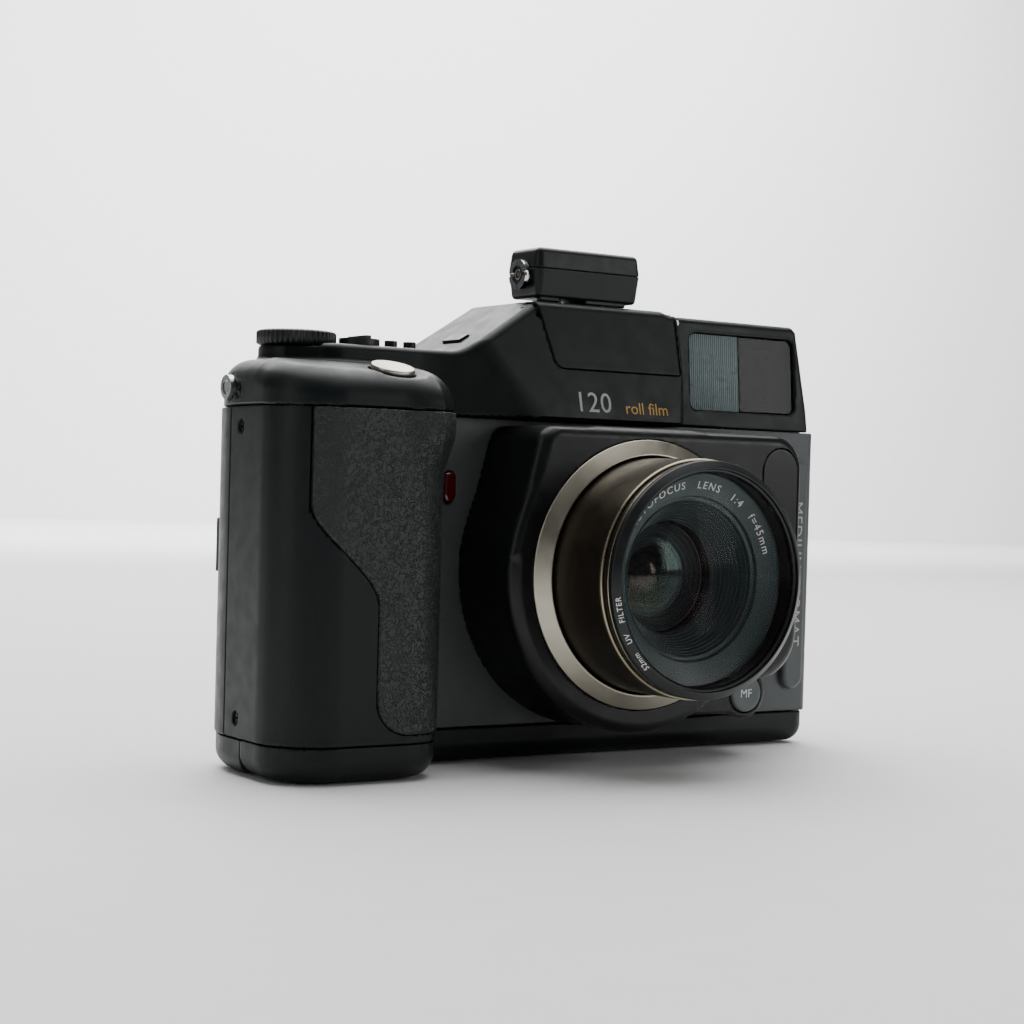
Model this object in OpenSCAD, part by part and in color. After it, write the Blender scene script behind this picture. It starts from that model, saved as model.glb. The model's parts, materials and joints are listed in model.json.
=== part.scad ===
// Autofocus medium-format camera with a retracting lens, a hinged film back,
// a pop-up flash and a sync adapter in its accessory shoe.
// Frame: X to the camera's own left, Y from the lens to the film, Z up.
// The origin is the mouth of the tripod socket, on the underside, below the lens axis.

/* [Body] */
// Left end of the body, at the grip
left_x = -93; // [-96:0.5:-92]
// Right end of the body
right_x = 71.5; // [70:0.5:73]
// Front face of the body
front_y = -14; // [-15:0.5:-14]
// Rear face of the film back
rear_y = 16; // [16:0.5:18]
// Height of the seam between the base and the middle shell
base_z = 8; // [8:0.5:9]
// Height of the seam between the middle shell and the top cover
seam_z = 81; // [81:0.5:82]
// Wall thickness of the moulded shells
wall = 2; // [1.6:0.1:2.2]

/* [Grip] */
// Foremost face of the grip
grip_y = -36; // [-38:0.5:-35]
// Right side of the grip
grip_right_x = -51; // [-52:0.5:-50]
// Depth of the leather inlay
leather_t = 0.8; // [0.6:0.1:1]

/* [Top] */
// Height of the control deck
deck_z = 96; // [95:0.5:97]
// Height of the hump that holds the flash and the shoe
hump_z = 109.3; // [108.5:0.1:109.5]
// Height of the flash head below its hinge pin
flash_drop = 13.6; // [13:0.1:13.6]

/* [Lens] */
// Height of the lens axis
axis_z = 45; // [44:0.5:46]
// Front face of the lens housing
housing_y = -37; // [-38:0.5:-36]
// Radius of the round part of the housing
housing_r = 37.5; // [37:0.5:38]
// Outer radius of the sliding barrel
barrel_r = 27.4; // [27:0.1:27.5]
// Front end of the barrel, lens run out
barrel_front_y = -59.2; // [-60:0.2:-58]
// Travel of the barrel from run out to parked
barrel_travel = 18; // [14:1:18]

/* [Film] */
// Radius of a 120 spool's flange
spool_r = 12.5; // [12:0.1:12.5]
// Picture width and height
gate_w = 41.5; // [41:0.5:42]
gate_h = 56; // [55:0.5:56]

/* [Hidden] */
$fn = 64;
e = 0.01;          // overlap that keeps a cut clean
gap = 0.15;        // clearance between separate parts
seam = 0.1;        // half the gap at a panel seam
side_seam_y = -7;  // rear edge of the grip cover
corner_r = 23;     // big rounding of the rear corner behind the grip
hinge_x = right_x - 1.6;
hinge_y = -8.2;
hinge_r = 1.5;
flash_pin_y = -13.2;
flash_pin_z = 106.8;
flash_floor_z = flash_pin_z - flash_drop;
lean_hump = 13.5;  // backward lean of the hump's front, degrees
lean_finder = 5;   // backward lean of the finder's front, degrees
shoe_z = 105;      // underside of the accessory shoe
shoe_y = -2;       // middle of the shoe
blade_pivot_r = 15.5;
button_tilt = 17;
focus_button_x = 39;
focus_button_z = 15;
window_left_x = 30.2;
window_split_x = 46.2;
window_right_x = 64.4;
window_low_z = 85.4;
window_high_z = 105.2;
supply_x = -75;    // axis of the fresh film spool
supply_y = -2;

// ---------- outlines ----------
function arc(cx, cy, r, a0, a1, n = 8) =
    [for (i = [0:n]) let (a = a0 + (a1 - a0) * i / n) [cx + r * cos(a), cy + r * sin(a)]];

// The grip in plan, inset by o, with its rear edge at back.
function grip_plan(o, back) = concat(
    [[left_x + o, back]],
    arc(left_x + 14, grip_y + 14, 14 - o, 180, 270),
    arc(grip_right_x - 12, grip_y + 12, 12 - o, 270, 360),
    [[grip_right_x - o, back]]);

// The grip with the rounded rear corner behind it, as far back as rear.
function shelf_plan(o, rear) = concat(
    arc(left_x + corner_r, rear - corner_r + o, corner_r - o, 90, 180),
    arc(left_x + 14, grip_y + 14, 14 - o, 180, 270),
    arc(grip_right_x - 12, grip_y + 12, 12 - o, 270, 360),
    [[grip_right_x - o, rear]]);

// The middle shell right of the grip in plan, inset by o.
function front_plan(o, left, back) = concat(
    [[left, back]],
    arc(grip_right_x + 4, front_y - 4, 4 - o, 180, 90),
    arc(right_x - 3, front_y + 3, 3 - o, 270, 360),
    [[right_x - o, back]]);

// Smooth sweep from 0 to 1.
function ease(t) = t * t * (3 - 2 * t);

// The control deck, hump and finder in plan, inset by o.
function top_plan(o) = concat(
    [[-67, rear_y - 1 - o]],
    arc(-75, -2, 8.6 - o, 110, 225),
    arc(-69, front_y + 7, 7.5 - o, 225, 270),
    [for (i = [0:10]) [-50 + 33 * i / 10, front_y - 0.5 + o - 7.5 * ease(i / 10)]],
    arc(20, front_y - 5.5, 2.5 - min(o, 2), 270, 330, 3),
    [[27 - o, front_y + o]],
    arc(right_x - 4, front_y + 3, 3 - o, 270, 360),
    arc(right_x - 4, rear_y - 4, 3 - o, 0, 90));

// The same parts seen from the front, inset by o.
function top_face(o) = concat(
    [[-90, seam_z - 1], [-90, deck_z - o], [-42, deck_z - o]],
    arc(-42, deck_z + 9 - o, 9, 270, 305, 4),
    arc(-17.2 + o / 2, hump_z - 3.5 - o, 3.5, 130, 90, 4),
    [[19 - o / 2, hump_z - o], [21, hump_z - 0.6 - o], [right_x - 7 - o, hump_z - 0.8 - o],
    [right_x - 5.5 - o, hump_z - 2 - o], [right_x - 1 - o, seam_z - 1]]);

// The lens housing seen from the front: round, with square shoulders above.
module housing_face(o) {
    intersection() {
        union() {
            translate([0, axis_z]) circle(housing_r - o);
            polygon(concat(
                [[-37.3 + o, axis_z + 4], [0, axis_z - 10]],
                arc(36, 31, 12 - o, 270, 360),
                arc(39, 70.5, 9 - o, 0, 90),
                arc(-24.5, 73.5, 6 - o, 90, 170)));
        }
        translate([-60, 0]) square([120, 79.5 - o]);
    }
}

// The leather inlay seen from the front, with its S-shaped left edge.
function leather_face(o) = concat(
    [[-50, seam_z + 1], [-86.5 + o, seam_z + 1], [-86.5 + o, 60]],
    [for (i = [1:8]) [-86.5 + o + 15.8 * ease(i / 8), 60 - 22 * i / 8]],
    arc(-62.7, 18, 8 - o, 180, 270),
    [[-50, 10 + o]]);

// The flash head seen from the front, inset by o.
function flash_face(o) = concat(
    [[-18.9 + o, hump_z + 5], [-18.6 + o, hump_z]],
    arc(-12.4, flash_floor_z + 3, 3 - o, 190, 270, 5),
    [[22.4 - o, flash_floor_z + o], [22.4 - o, hump_z + 5]]);

module plan_to(z0, z1, pts) translate([0, 0, z0]) linear_extrude(z1 - z0) polygon(pts);
module face_to(y0, y1, pts) translate([0, y1, 0]) rotate([90, 0, 0]) linear_extrude(y1 - y0) polygon(pts);
module along_y(y0, y1, x, z, r) translate([x, y1, z]) rotate([90, 0, 0]) cylinder(r = r, h = y1 - y0);
module ring_y(y0, y1, r_in, r_out, x = 0, z = axis_z) difference() {
    along_y(y0, y1, x, z, r_out);
    along_y(y0 - 1, y1 + 1, x, z, r_in);
}
module box(a, b) translate(a) cube(b - a);
module flash_button_frame() translate([-33.6, -4, 99.2]) rotate([0, -30, 0]) children();
module finder_frame() translate([0, front_y, seam_z]) rotate([-lean_finder, 0, 0]) children();
module button_frame() translate([-63.5, -26.4, 89.8]) rotate([button_tilt, 0, 0]) children();

// ---------- middle shell ----------
module front_cover() color("#2a2e30") difference() {
    plan_to(base_z + seam, seam_z - seam, front_plan(0, grip_right_x, hinge_y - hinge_r - gap));
    box([grip_right_x + 1.2, front_y + wall, 0], [right_x - wall, 20, 99]);
    along_y(front_y - 9, front_y + 9, 0, axis_z, 31);
    translate([-40.8, 0, 0]) pill_y(front_y - 9, front_y + 9, 62.6, 66.2, 1.85);
}
module leather_zone(o, clear) intersection() {
    difference() {
        plan_to(base_z + 1, seam_z - seam, grip_plan(o, front_y - 4.5));
        plan_to(base_z, seam_z + 1, grip_plan(leather_t, front_y));
    }
    face_to(-60, 0, leather_face(clear));
}
module grip_cover() color("#1b1e1f") difference() {
    union() {
        plan_to(base_z + seam, seam_z - seam, grip_plan(0, side_seam_y));
    }
    plan_to(base_z - 1, seam_z + 1, grip_plan(wall, side_seam_y + 9));
    leather_zone(-1, 0);
    box([grip_right_x - 5, front_y - 1.9, 0], [0, 20, 99]);
    for (p = [[-12.1, 76.5], [-12.7, 12.5]])
        translate([left_x - 1, p[0], p[1]]) rotate([0, 90, 0]) cylinder(r = 1.6, h = 9);
}
module grip_leather() color("#141516") leather_zone(0, 0.1);

// ---------- base ----------
module base_plan(o) polygon(concat(
    arc(left_x + corner_r, rear_y - corner_r, corner_r - 0.6 - o, 90, 180),
    [[left_x + 0.6 + o, front_y - 0.4]],
    arc(right_x - 5 - o, front_y + 4 + o / 2, 4.4, 270, 360),
    arc(right_x - 5 - o, rear_y - 5 - o, 4.4, 0, 90)));
module base_cover() color("#1b1e1f") difference() {
    hull() {
        translate([0, 0, base_z - seam - 0.4]) linear_extrude(0.4) base_plan(0);
        translate([0, 0, 2.5]) linear_extrude(1) base_plan(1.6);
        linear_extrude(0.5) base_plan(5);
    }
    box([-74, front_y + 3.5, 2], [64, rear_y - 4.5, 20]);
    translate([0, 0, -1]) cylinder(r = 6, h = 10);
    along_y(-20, front_y + 0.1, 0, axis_z, housing_r + 0.15);
    battery_axle(1.5, -95, -50);
    translate([hinge_x, hinge_y, 6]) cylinder(r = 0.75, h = 9);
    for (x = [54, supply_x]) translate([x, x > 0 ? 1 : supply_y, 1]) cylinder(r = 2.02, h = 9);
}
module battery_axle(r, x0, x1) translate([x0, -15, 0.9]) rotate([0, 90, 0]) cylinder(r = r, h = x1 - x0);
module battery_door() color("#1b1e1f") difference() {
    union() {
        battery_axle(0.8, -85, -60);
        hull() {
            translate([0, 0, base_z - seam - 0.4]) linear_extrude(0.4)
                polygon(grip_plan(0.3, front_y - 0.7));
            translate([0, 0, 3]) linear_extrude(1) polygon(grip_plan(1.6, front_y - 0.7));
            linear_extrude(0.5) polygon(grip_plan(6, front_y - 0.7));
        }
    }
    plan_to(3, 20, grip_plan(6.5, front_y - 4));
}

// ---------- top cover ----------
module top_solid() {
    intersection() {
        plan_to(seam_z + seam, hump_z + 2, top_plan(0));
        face_to(-40, 30, top_face(0));
        translate([0, front_y - 8, seam_z]) rotate([-lean_hump, 0, 0]) box([-100, 0, -20], [100, 60, 60]);
        union() {
            box([-100, -60, 70], [23.5, 60, 130]);
            translate([0, front_y, seam_z]) rotate([-lean_finder, 0, 0]) box([0, 0, -20], [100, 60, 60]);
        }
    }
}
module shelf() hull() {
    plan_to(seam_z + seam, seam_z + 4.5, shelf_plan(0, rear_y - 1));
    plan_to(seam_z + 8.5, seam_z + 9, shelf_plan(3, rear_y - 2));
    plan_to(seam_z + 10, seam_z + 10.2, shelf_plan(7, rear_y - 4));
}
module top_cavity() {
    intersection() {
        plan_to(seam_z - 1, hump_z, top_plan(wall));
        face_to(-40, 30, top_face(wall));
        translate([0, front_y - 8 + wall, seam_z]) rotate([-lean_hump, 0, 0])
            box([-100, 0, -20], [100, 60, 60]);
        union() {
            box([-100, -60, 70], [21.5, 60, 130]);
            translate([0, front_y + wall, seam_z]) rotate([-lean_finder, 0, 0])
                box([0, 0, -20], [100, 60, 60]);
        }
    }
    plan_to(seam_z - 1, seam_z + 6.5, shelf_plan(wall + 1, rear_y - 3));
}
module top_cover() color("#1b1e1f") difference() {
    union() {
        difference() {
            union() {
                top_solid();
                shelf();
            }
            top_cavity();
        }
        // floor under the shoe and the walls of the flash bay
        intersection() {
            top_solid();
            union() {
                box([-14, -12, shoe_z - 1.6], [14, rear_y - 1, hump_z + 1]);
                box([-21, -40, flash_floor_z - 1.6], [26, -9.6, hump_z + 1]);
            }
        }
        translate([hinge_x, hinge_y, seam_z + seam]) cylinder(r = 1.4, h = 5);
        for (x = [54, supply_x]) translate([x, x > 0 ? 1 : supply_y, seam_z + seam]) cylinder(r = 4, h = 5.9);
        box([53, -13, seam_z + seam], [55, 0, seam_z + 6]);
        box([-90, -3, seam_z + seam], [-76, -1, seam_z + 6]);
    }
    // flash bay
    face_to(-60, -11.3, flash_face(0));
    translate([-21.5, flash_pin_y, flash_pin_z]) rotate([0, 90, 0]) cylinder(r = 0.8, h = 47);
    translate([-19, flash_pin_y, flash_pin_z]) rotate([0, 90, 0]) cylinder(r = 2.9, h = 41.4);
    // recess of the accessory shoe, open to the rear
    box([-11.2, -9.4, shoe_z], [11.2, rear_y + 4, hump_z + 3]);
    // finder opening in front and eyepiece opening behind
    finder_frame()
        box([window_left_x, -9, window_low_z - seam_z], [window_right_x, 4, window_high_z - seam_z]);
    box([46.9, rear_y - 7, 87.4], [63.1, rear_y + 9, 102.6]);
    // controls
    button_frame() translate([0, 0, -8]) cylinder(r = 5.3, h = 20);
    translate([-75, -2, deck_z - 9]) cylinder(r = 3.1, h = 12);
    translate([-75, -2, deck_z - 0.8]) cylinder(r = 9.7, h = 5);
    translate([-61.5, -7, deck_z - 9]) cylinder(r = 2.1, h = 12);
    for (x = [-51.5, -46.5]) translate([x, -4, deck_z - 9]) cylinder(r = 1.8, h = 12);
    flash_button_frame() box([-1.6, -4.1, -9], [1.6, 4.1, 9]);
    translate([hinge_x, hinge_y, seam_z - 1]) cylinder(r = 0.75, h = 4);
    for (x = [54, supply_x]) translate([x, x > 0 ? 1 : supply_y, seam_z - 1]) cylinder(r = 2.02, h = 6);
    translate([left_x - 1, -10.1, 84.5]) rotate([0, 90, 0]) cylinder(r = 1.6, h = 9);
    translate([left_x - 1, -5.6, 85.2]) rotate([0, 90, 0]) cylinder(r = 1.2, h = 9);
    box([left_x - 1, -8.45, 82.35], [left_x + 0.55, -2.75, 88.05]);
    box([-64, rear_y - 3, seam_z + 2.4], [-30, rear_y + 9, deck_z - 2.4]);
}

// ---------- film back ----------
function back_plan(o) = concat(
    arc(left_x + corner_r, rear_y - corner_r, corner_r - o, 179.5, 90, 12),
    arc(right_x - 4.1, rear_y - 4, 4 - o, 90, 0), [[right_x - 0.1 - o, hinge_y]]);
module film_back() color("#1f2324") difference() {
    union() {
        difference() {
            plan_to(base_z + seam, seam_z - seam, back_plan(0));
            plan_to(base_z - 1, seam_z + 1, back_plan(wall));
            box([left_x + wall, -9, 0], [right_x - 3.4, side_seam_y + 2.4, 99]);
        }
        translate([hinge_x, hinge_y, base_z + seam]) cylinder(r = hinge_r, h = seam_z - base_z - 2 * seam);
        // posts that carry the pressure plate
        for (x = [-16, 16]) along_y(rear_y - wall - 1.2, rear_y - wall, x, axis_z, 2.5);
    }
    translate([hinge_x, hinge_y, 0]) cylinder(r = 0.75, h = 99);
    latch_frame() {
        box([-1, -4, 34.8], [0.8, 4, 61.5]);
        box([-1, -1.6, 40], [4, 1.6, 57]);
    }
    for (x = [-16, 16]) along_y(0, rear_y - wall + 0.9, x, axis_z, 1.2);
}
// On the rounded rear corner: X inwards, Y along the surface.
module latch_frame() translate([left_x + corner_r, rear_y - corner_r, 0])
    rotate([0, 0, -33.9]) translate([-corner_r, 0, 0]) children();
module back_latch() color("#6f7476") latch_frame() {
    difference() {
        box([-0.3, -3.2, 44], [0.65, 3.2, 56]);
        for (z = [46:2:54]) box([-1, -2.4, z - 0.4], [0, 2.4, z + 0.4]);
    }
    box([0.5, -1.4, 46.5], [2.2, 1.4, 53.5]);
    box([2.15, -2.1, 36], [3, 2.1, 61]);
}
module back_hinge_pin() color("#9a9c9b") translate([hinge_x, hinge_y, 6.1]) cylinder(r = 0.7, h = 77.8);
module pressure_plate() color("#202223") difference() {
    union() {
        box([-24, 10.35, 14], [24, 11.35, 76]);
        for (x = [-16, 16]) along_y(11.3, 14.4, x, axis_z, 1.15);
    }
    for (x = [-12:6:12], z = [24:7:66]) along_y(9, 10.6, x, z, 1.2);
}
module pressure_springs() color("#b8b4a6") for (x = [-16, 16], s = [-1, 1])
    translate([x, 11.85, axis_z + s * 4]) rotate([-s * 7, 0, 0])
        box([-2, 0, min(0, s * 15)], [2, 0.25, max(0, s * 15)]);

// ---------- film chassis ----------
module film_chassis() color("#3a3d3e") difference() {
    union() {
        box([-62, -11.8, 9], [40.4, 10, 80]);
        for (z = [[9, 10.7], [79, 80.4]]) intersection() {
            union() {
                translate([-74, -2.5, z[0]]) cylinder(r = 14.2, h = z[1] - z[0]);
                box([-74, -8.6, z[0]], [-60, 11.7, z[1]]);
            }
            box([-92, -8.6, z[0] - 1], [-60, 12.4, z[1] + 1]);
        }
        box([40, -11.8, 9], [66, 11, 10.7]);
        box([40, -11.8, 79], [66, 11, 80.4]);
        for (z = [10.4, 77.8]) box([-62, 9.9, z], [40.4, 10.3, z + 1.8]);
    }
    box([-29.4, -13, 15.6], [29.4, 8, 74.4]);
    box([-gate_w / 2, 7, axis_z - gate_h / 2], [gate_w / 2, 12, axis_z + gate_h / 2]);
    box([-60.4, -13, 11], [-31.4, 7.6, 78]);
    box([-63, -13, 8], [-52.7, -9.75, 82]);
    box([31.4, -13, 11], [39, 7.6, 78]);
    translate([supply_x, supply_y, 10.8]) cylinder(r = 13.4, h = 68);
    translate([54, 1, 10.8]) cylinder(r = 13.4, h = 68);
    for (x = [54, supply_x]) translate([x, x > 0 ? 1 : supply_y, 0]) cylinder(r = 2.1, h = 99);
}
module spool(core) difference() {
    union() {
        for (z = [12.4, 76.2]) translate([0, 0, z]) cylinder(r = spool_r, h = 1.4);
        translate([0, 0, 13]) cylinder(r = core, h = 64);
    }
    translate([0, 0, 11]) cylinder(r = 3, h = 5.4);
    translate([0, 0, 73.6]) cylinder(r = 3, h = 5.4);
}
module take_up_spool() color("#23282b") difference() {
    translate([54, 1, 0]) spool(5.6);
    box([53.3, -6, 17], [54.7, 8, 73]);
}
module supply_spool() color("#7d786c") translate([supply_x, supply_y, 0]) spool(11.4);
module spool_pins() color("#a9abaa") for (x = [54, supply_x]) translate([x, x > 0 ? 1 : supply_y, 0]) {
    translate([0, 0, 1.3]) cylinder(r = 2, h = 10);
    translate([0, 0, 11.2]) cylinder(r = 2.95, h = 4.6);
    translate([0, 0, 74.2]) cylinder(r = 2.95, h = 4.6);
    translate([0, 0, 78.6]) cylinder(r = 2, h = 7.2);
}

// ---------- power and drive ----------
module batteries() color("#8c8f90") for (z = [10, 45]) translate([-75, -24.2, z]) {
    cylinder(r = 8.5, h = 33);
    translate([0, 0, 32.9]) cylinder(r = 3, h = 1.4);
}
module main_board() color("#20502f") difference() {
    union() {
        box([-58, -9, 80.6], [38, 12, 81.6]);
        for (x = [-40, -14, 12]) box([x, -5, 81.5], [x + 12, 5, 82.6]);
        for (x = [-50, 28]) box([x, 6.5, 81.5], [x + 6, 10, 83.4]);
    }
    translate([-55, 9, 79]) cylinder(r = 1.1, h = 4);
    translate([35, 9, 79]) cylinder(r = 1.1, h = 4);
}
module lens_motor() color("#8f9192") {
    translate([-45, -2, 20]) cylinder(r = 7, h = 26);
    translate([-45, -2, 45.9]) cylinder(r = 2.6, h = 3);
    translate([-45, -2, 48.8]) cylinder(r = 1, h = 9);
    translate([-45, -2, 51]) cylinder(r = 5, h = 3.4);
    translate([-36.6, -2, 51]) cylinder(r = 3.2, h = 3.4);
    translate([-36.6, -2, 16]) cylinder(r = 0.9, h = 44);
}
module flash_capacitor() color("#2b3f57") {
    translate([-57, 5, 88.2]) rotate([0, 90, 0]) cylinder(r = 4.9, h = 34);
    for (y = [3.4, 6.6]) translate([-23.1, y, 88.2]) rotate([0, 90, 0]) cylinder(r = 0.35, h = 4);
}

// ---------- lens housing ----------
module housing_block(y0, y1, o)
    translate([0, y1, 0]) rotate([90, 0, 0]) linear_extrude(y1 - y0) housing_face(o);
module lens_housing() color("#151718") difference() {
    union() {
        housing_block(housing_y + 2.2, front_y, 0);
        housing_block(housing_y, housing_y + 2.3, 1.3);
        along_y(-27.4, front_y, focus_button_x, focus_button_z, 6.4);
        box([20, -27.4, 10], [focus_button_x, front_y, 21]);
    }
    housing_block(housing_y + 2.2, 0, 2.2);
    along_y(-60, 0, 0, axis_z, 29.6);
    along_y(housing_y - 1, housing_y + 1, 0, axis_z, 31.75);
    translate([40.4, 0, 0]) pill_y(-60, housing_y + 1.6, 52.7, 70.4, 5.7);
    along_y(-60, -10, focus_button_x, focus_button_z, 2.1);
    along_y(-60, -25.2, focus_button_x, focus_button_z, 4.95);
    box([14, -25.4, 11.8], [focus_button_x - 6, -10, 40]);
}
module pill_y(y0, y1, z0, z1, r) {
    along_y(y0, y1, 0, z0, r);
    along_y(y0, y1, 0, z1, r);
    box([-r, y0, z0], [r, y1, z1]);
}
module focus_window() color("#0b0d10") translate([40.4, 0, 0])
    pill_y(housing_y + 0.15, housing_y + 1.55, 52.7, 70.4, 5.6);
module focus_button() color("#5d6664") {
    along_y(-28, -26.2, focus_button_x, focus_button_z, 4.7);
    along_y(-26.3, -20, focus_button_x, focus_button_z, 1.8);
}
module timer_lamp() color("#5a0c10") translate([-40.8, 0, 0])
    pill_y(front_y - 1, front_y + 0.2, 62.6, 66.2, 1.75);
module name_strip() color("#17191a") {
    translate([64.4, 0, 0]) pill_y(front_y - 1.5, front_y, 17.5, 70.3, 3.5);
    translate([64.4, 0, 0]) pill_y(front_y - 2, front_y - 1.4, 17.5, 70.3, 2.9);
}
module bezel_ring() color("#a29f90") rotate([90, 0, 0]) translate([0, axis_z, 0]) rotate_extrude()
    polygon([[27.8, 36.2], [31.7, 36.2], [31.7, 37.1], [31.3, 37.5], [28.4, 39.3], [27.8, 39.1]]);
module guide_tube() color("#2a2c2d") {
    ring_y(-36.1, -12.4, 27.75, 29.4);
    ring_y(-14.4, -12.2, 29.3, 30.9);
}

// ---------- lens ----------
module on_axis() translate([0, 0, axis_z]) rotate([90, 0, 0]) rotate_extrude() children();
module lens_barrel() color("#3b372f") on_axis() polygon([[25.4, 15.2], [27.4, 15.2], [27.4, 57],
    [27.1, 57.4], [26.6, 57.4], [26.6, 58.8], [26.3, 59.1], [25.6, 59.1], [25.6, 56], [24.8, 56],
    [24.8, 24], [25.4, 23.4]]);
module name_ring() color("#121416") on_axis() polygon([[24.5, 56.4], [23.6, 56.4], [19.4, 54.8],
    [18.6, 53.6], [17.6, 53.4], [17.6, 52], [16.6, 51.8], [16.6, 50.4], [15.6, 50.2], [15.6, 48.8],
    [14.6, 48.6], [14.6, 47.2], [13.6, 47], [13.6, 45.6], [13, 45.4], [13, 44.4], [24.5, 44.4],
    [24.5, 46.4], [20.4, 46.4], [20.4, 53.2], [24.5, 54.8]]);
module front_lens() color([0.5, 0.7, 0.7, 0.5]) on_axis() intersection() {
    polygon([[0, 38], [12.9, 38], [12.9, 44.2], [0, 48]]);
    union() {
        translate([0, 18.6]) circle(26, $fn = 96);
        square([4, 40]);
    }
    square([13, 60]);
}
module shutter_case() color("#2f3132") {
    on_axis() polygon([[5.6, 35.6], [24.7, 35.6], [24.7, 28.6], [23.2, 28.6], [23.2, 34.6], [5.6, 34.6]]);
    ring_y(-29.6, -28.8, 5.6, 23.4);
    for (i = [0:4]) translate([0, 0, axis_z]) rotate([0, 72 * i, 0])
        along_y(-34.9, -29.3, blade_pivot_r, 0, 0.6);
}
module blade(i) color("#3c3f40") translate([0, 0, axis_z]) rotate([0, 72 * i, 0]) difference() {
    union() {
        along_y(-34.2 + 0.8 * i, -33.9 + 0.8 * i, blade_pivot_r - 12.6, 0, 5.3);
        along_y(-34.2 + 0.8 * i, -33.9 + 0.8 * i, blade_pivot_r, 0, 1.8);
        box([blade_pivot_r - 9, -34.2 + 0.8 * i, -1.5], [blade_pivot_r, -33.9 + 0.8 * i, 1.5]);
    }
    along_y(-36, -28, blade_pivot_r, 0, 0.65);
}
module shutter_blade_1() blade(0);
module shutter_blade_2() blade(1);
module shutter_blade_3() blade(2);
module shutter_blade_4() blade(3);
module shutter_blade_5() blade(4);
module rear_lens() color([0.5, 0.7, 0.7, 0.5]) on_axis() {
    polygon([[0, 19.4], [11.5, 20.6], [11.5, 26.6], [0, 26.6]]);
    polygon([[11.4, 20.2], [24.7, 20.2], [24.7, 22.4], [13, 22.4], [13, 27], [11.4, 27]]);
}
module filter_ring() color("#0e0f10") on_axis() polygon([[24.6, 56.7], [25.54, 56.7], [25.54, 59.3],
    [27, 59.3], [27, 61.5], [26.7, 62], [25.6, 62], [25.2, 61.4], [25.1, 60.3], [24.2, 60.3],
    [24.2, 59.5], [24.6, 59.1]]);
module filter_glass() color([0.8, 0.75, 0.78, 0.35]) along_y(-60.9, -60.3, 0, axis_z, 25.1);

// ---------- finder ----------
module finder_window() color([0.2, 0.15, 0.12, 0.6]) finder_frame()
    box([window_split_x + 0.15, 0.7, window_low_z - seam_z + gap],
        [window_right_x - gap, 2.2, window_high_z - seam_z - gap]);
module finder_screen() color("#8e9a9f") finder_frame() difference() {
    box([window_left_x + gap, 0.7, window_low_z - seam_z + gap],
        [window_split_x - 0.15, 2.2, window_high_z - seam_z - gap]);
    for (x = [31.2:0.9:45.6]) box([x - 0.15, 0.2, 5.4], [x + 0.15, 0.95, 23.2]);
}
module finder_tube() color("#141617") difference() {
    box([47, -5.4, 87.5], [63, 12.5, 102.5]);
    box([48.4, -6, 88.9], [61.6, 14, 101.1]);
}
module eyepiece() color("#0f1011") difference() {
    union() {
        box([47.2, 12.6, 87.7], [62.8, 18, 102.3]);
        box([44.5, 17.9, 85.6], [65.5, 20.5, 104.4]);
    }
    box([49.4, 14.6, 90], [60.6, 22, 100]);
}

// ---------- flash ----------
module flash_head() color("#1b1e1f") difference() {
    intersection() {
        top_solid();
        face_to(-60, -11.6, flash_face(gap));
        union() {
            box([-40, -60, flash_floor_z + 1], [40, -11.6, flash_pin_z]);
            box([-40, -60, flash_floor_z - 1], [40, -12.6, flash_pin_z]);
            box([-40, -60, flash_pin_z - 1], [40, flash_pin_y, 120]);
            translate([-40, flash_pin_y, flash_pin_z]) rotate([0, 90, 0]) cylinder(r = 2.5, h = 80);
        }
    }
    translate([-30, flash_pin_y, flash_pin_z]) rotate([0, 90, 0]) cylinder(r = 0.8, h = 60);
    box([-12.5, -17.2, flash_floor_z - 1], [20.5, -13.2, 95.6]);
    box([-12.5, -16, flash_floor_z], [20.5, -13.2, 100]);
}
module flash_hinge_pin() color("#9a9c9b")
    translate([-21.4, flash_pin_y, flash_pin_z]) rotate([0, 90, 0]) cylinder(r = 0.75, h = 46.5);
module flash_lens() color("#d8dcdc") {
    box([-12.4, -17.1, flash_floor_z + 0.3], [20.4, -13.3, flash_floor_z + 1.4]);
    translate([-11, -14.6, 98.3]) rotate([0, 90, 0]) cylinder(r = 1.1, h = 30);
}
module flash_button() color("#111314") flash_button_frame() {
    box([-1.45, -3.95, -4], [1.45, 3.95, 0.9]);
    box([-0.8, -2, -7], [0.8, 2, -3.9]);
}

// ---------- accessory shoe and adapter ----------
module accessory_shoe() color("#a7a9a8") difference() {
    box([-11, -9.2, shoe_z], [11, 14.6, 109.2]);
    box([-9.35, -7.6, shoe_z + 1], [9.35, 20, shoe_z + 3.1]);
    box([-6.3, -7.6, shoe_z + 2], [6.3, 20, 112]);
}
module adapter_foot() color("#8b8d8c") {
    box([-9.15, -7.2, shoe_z + 1.1], [9.15, 7.4, shoe_z + 2.95]);
    box([-6, -7.2, shoe_z + 2.9], [6, 6.4, 110.7]);
}
module adapter_half(z0, z1, i0, i1) hull() {
    translate([0, 0, z0]) linear_extrude(0.3) adapter_plan(i0);
    translate([0, 0, z1 - 0.3]) linear_extrude(0.3) adapter_plan(i1);
}
module adapter_plan(o) polygon(concat(arc(-15, -1, 2 - o, 90, 180, 4), arc(-15, -11, 2 - o, 180, 270, 4),
    arc(12, -11, 2 - o, 270, 360, 4), arc(12, -1, 2 - o, 0, 90, 4)));
module adapter_lower() color("#191b1c") difference() {
    union() {
        adapter_half(110.5, 117.45, 0.9, 0);
        for (x = [[-15.2, -9.6], [-2, 10]]) box([x[0], -11.8, 109.6], [x[1], -9.8, 110.8]);
    }
    box([-14, -10, 112], [11.4, -2, 120]);
    box([-6.05, -9.8, 100], [6.05, 3, 110.72]);
    translate([-20, -6.5, 116]) rotate([0, 90, 0]) cylinder(r = 2.9, h = 6.6);
}
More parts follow.
